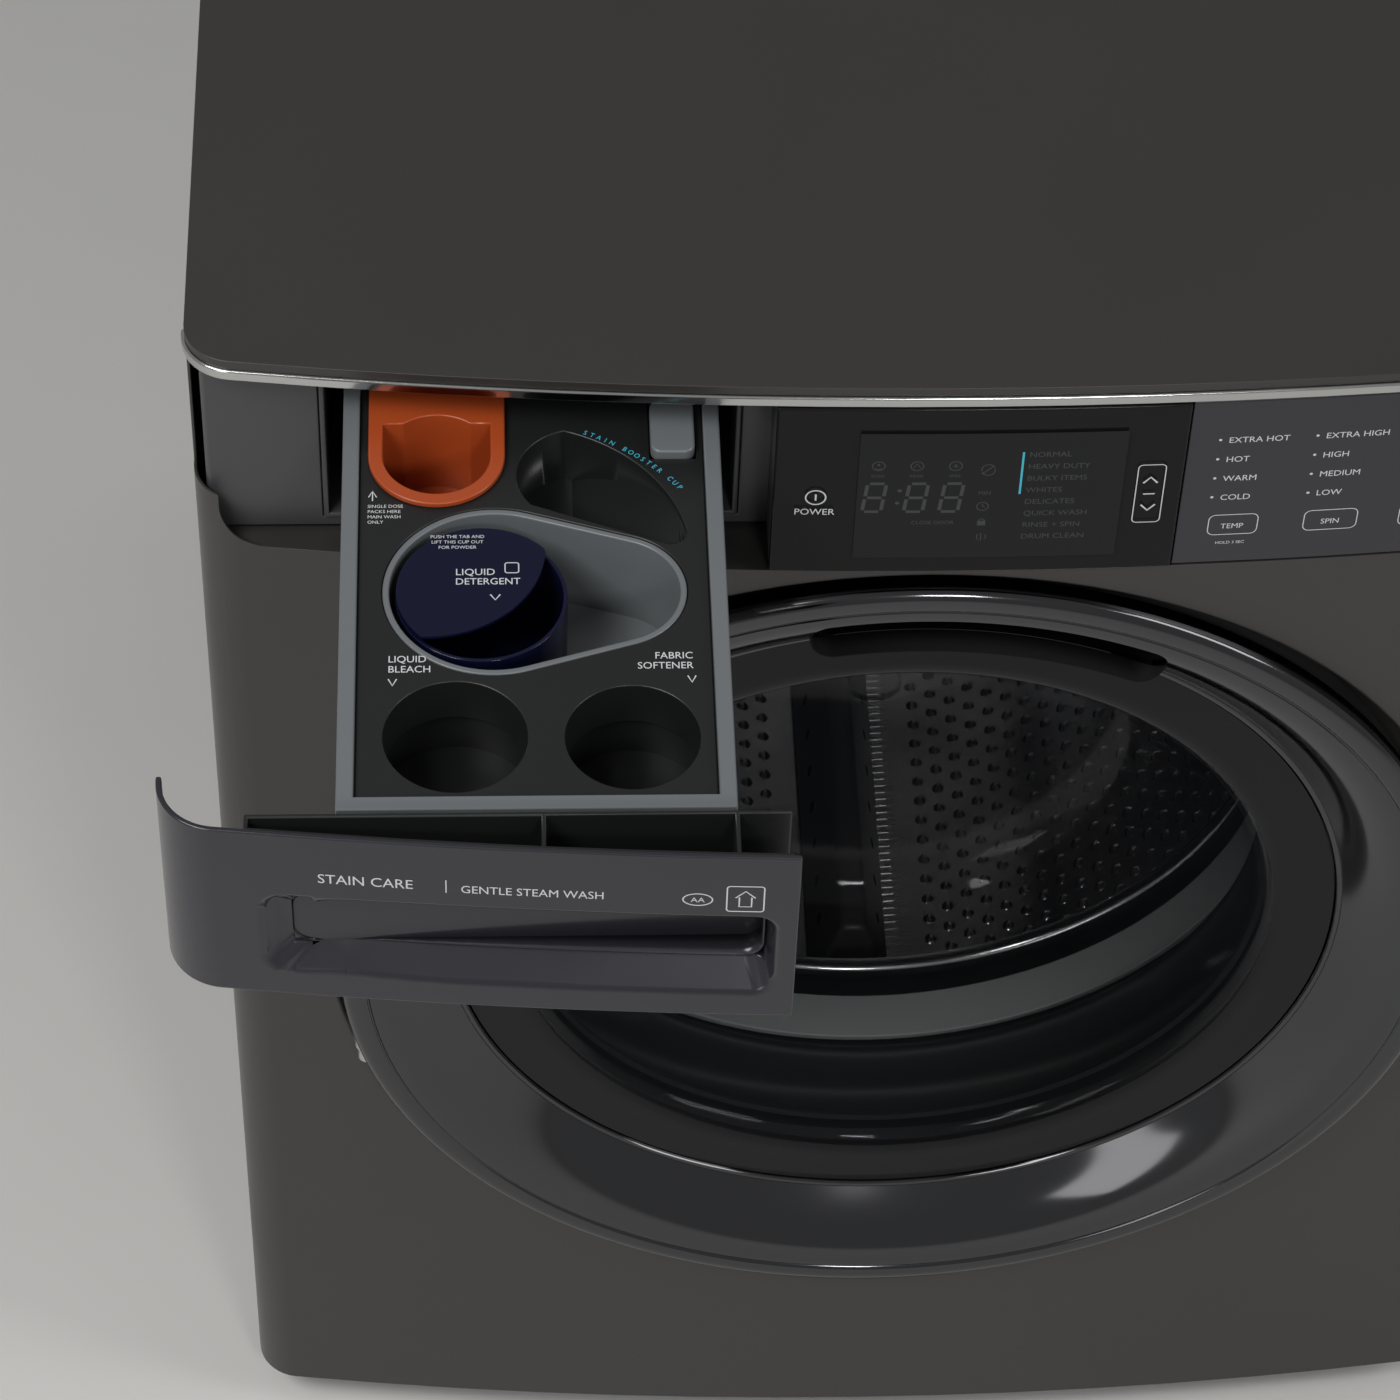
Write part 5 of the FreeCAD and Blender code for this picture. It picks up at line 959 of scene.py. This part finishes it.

# %% [markdown]
# ## Tub, drive and plumbing
# These pieces are inside the cabinet, but they show when it's opened or taken apart. The two springs
# are coils, made by spinning a circle while it climbs. The springs and the hoses between the cabinet
# and the tub bend in the machine; here they ride on no body and stay where they are made.

# %% Springs and hoses
SPRING_R, WIRE_R = 9.0, 1.9
SPRING_TURNS = 15
STEPS_A_TURN = 20


def coil(x, top, bottom):
    """A spring about an upright axis at x: a circle spun round it while it climbs down."""
    bm = bmesh.new()
    made = bmesh.ops.create_circle(bm, cap_ends=False, segments=10, radius=WIRE_R * MM,
                                   matrix=Matrix.Translation((x + SPRING_R * MM, 0, top))
                                   @ Matrix.Rotation(math.pi / 2, 4, "X"))
    steps = SPRING_TURNS * STEPS_A_TURN
    bmesh.ops.spin(bm, geom=made["verts"] + list(bm.edges), cent=(x, 0, 0), axis=(0, 0, 1),
                   angle=2 * math.pi * SPRING_TURNS, steps=steps, dvec=(0, 0, (bottom - top) / steps))
    bmesh.ops.holes_fill(bm, edges=[e for e in bm.edges if e.is_boundary], sides=0)
    bmesh.ops.recalc_face_normals(bm, faces=bm.faces)
    return bm


spring_low, spring_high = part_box("suspension_springs")
spring_x = spring_high.x - (SPRING_R + 2.0) * MM
springs = coil(spring_x, spring_high.z - 0.002, spring_low.z + 0.002)
other = coil(-spring_x, spring_high.z - 0.002, spring_low.z + 0.002)
spare = bpy.data.meshes.new("spare")
other.to_mesh(spare)
other.free()
springs.from_mesh(spare)
bpy.data.meshes.remove(spare)
obj = piece("suspension_springs_look", springs, None, F["bright_steel"], slot="bright_steel")
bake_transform(obj)
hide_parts("suspension_springs")

sump_low, sump_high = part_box("sump_hose")
softened("sump_hose", 0, bend=("root", "tub", (0, 0, sump_low.z + 0.003), (0, 0, sump_high.z - 0.003)))
fill_low, fill_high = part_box("fill_hose")
softened("fill_hose", 0, bend=("root", "tub", (0, 0, fill_high.z - 0.003), (0, 0, fill_low.z + 0.003)))
for node, width in (("tub_front", 0.0010), ("tub_rear", 0.0010), ("counterweights", 0.0030),
                    ("shaft_bearings", 0.0008), ("shaft_seal", 0.0004), ("damper_rods", 0.0006),
                    ("damper_cylinders", 0.0008), ("drive_motor", 0.0012), ("drive_belt", 0.0005),
                    ("wash_heater", 0.0), ("motor_pulley", 0.0005), ("pump_impeller", 0.0004),
                    ("drain_pump", 0.0012), ("drain_hose", 0.0), ("drain_outlet", 0.0008),
                    ("inlet_valves", 0.0008), ("inlet_hoses", 0.0)):
    softened(node, width)
left = sorted(n for n, o in NODES.items() if not o.hide_render)
print("still shown as CAD:", left or "none")

# %% [markdown]
# ## Floor, light and camera
# A pale floor, a soft grey sky and four area lights: a large one above and in front at the left, a
# weaker one at the right, a low one in front that lifts the door's ring, and a small one that shines
# through the glass into the drum. The camera looks down steeply from the front, a little from the left.

# %% Floor, light and camera
bm = bmesh.new()
bmesh.ops.create_grid(bm, x_segments=1, y_segments=1, size=4)
floor = piece("floor", bm, None, finish("floor", (0.62, 0.61, 0.59), 0.6, spread=0.03, blotch=0.02))
floor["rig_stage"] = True


def area_light(name, spot, target, size, watts):
    light = bpy.data.lights.new(name, "AREA")
    light.shape = "RECTANGLE"
    light.size, light.size_y = size
    light.energy = watts
    obj = bpy.data.objects.new(name, light)
    bpy.context.scene.collection.objects.link(obj)
    obj.location = spot
    obj.rotation_euler = (Vector(target) - Vector(spot)).to_track_quat("-Z", "Y").to_euler()


# name, place, what it points at, its width and height, watts
LIGHTS = (("key", (-1.5, -1.5, 2.8), (0, -0.3, 0.5), (1.4, 1.0), 52),
          ("side", (2.2, -1.1, 2.1), (0, -0.3, 0.5), (0.8, 1.4), 20),
          ("front", (-1.5, -2.6, 0.9), (0, -0.3, 0.45), (1.0, 0.7), 6),
          ("door", (0.35, -2.3, 2.1), (0.0, -0.1, 0.40), (0.35, 0.3), 10))
for light in LIGHTS:
    area_light(*light)
world = bpy.data.worlds.new("sky")
world.use_nodes = True
world.node_tree.nodes["Background"].inputs["Color"].default_value = (0.80, 0.81, 0.82, 1)
world.node_tree.nodes["Background"].inputs["Strength"].default_value = 0.36
bpy.context.scene.world = world
bpy.context.scene.view_settings.view_transform = "Standard"

TILT, YAW, ROLL = math.radians(49.07), math.radians(3.69), math.radians(2.34)
AIM = Vector((-0.1056, -0.39, 0.6433))
DISTANCE = 2.319
LENS, SENSOR = 124.2, 36
forward = Vector((math.sin(YAW) * math.cos(TILT), math.cos(YAW) * math.cos(TILT), -math.sin(TILT)))
level = Vector((math.cos(YAW), -math.sin(YAW), 0))
lift = level.cross(forward)
right = level * math.cos(ROLL) + lift * math.sin(ROLL)
up = lift * math.cos(ROLL) - level * math.sin(ROLL)
camera_data = bpy.data.cameras.new("camera")
camera_data.sensor_width = SENSOR
camera_data.lens = LENS
camera_data.clip_start = 0.01
camera = bpy.data.objects.new("camera", camera_data)
bpy.context.scene.collection.objects.link(camera)
turned = Matrix((right, up, -forward)).transposed().to_4x4()
camera.matrix_world = Matrix.Translation(AIM - forward * DISTANCE) @ turned
bpy.context.scene.camera = camera
print("camera at", [round(c, 3) for c in camera.location])

made_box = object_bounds()


def plain(box):
    return [[float(c) for c in corner] for corner in box]


try:
    sizes = {"cad": plain(cad_box), "made": plain(made_box)}
except TypeError:
    sizes = {"cad": list(map(float, cad_box)), "made": list(map(float, made_box))}
print("cad ", sizes["cad"])
print("made", sizes["made"])
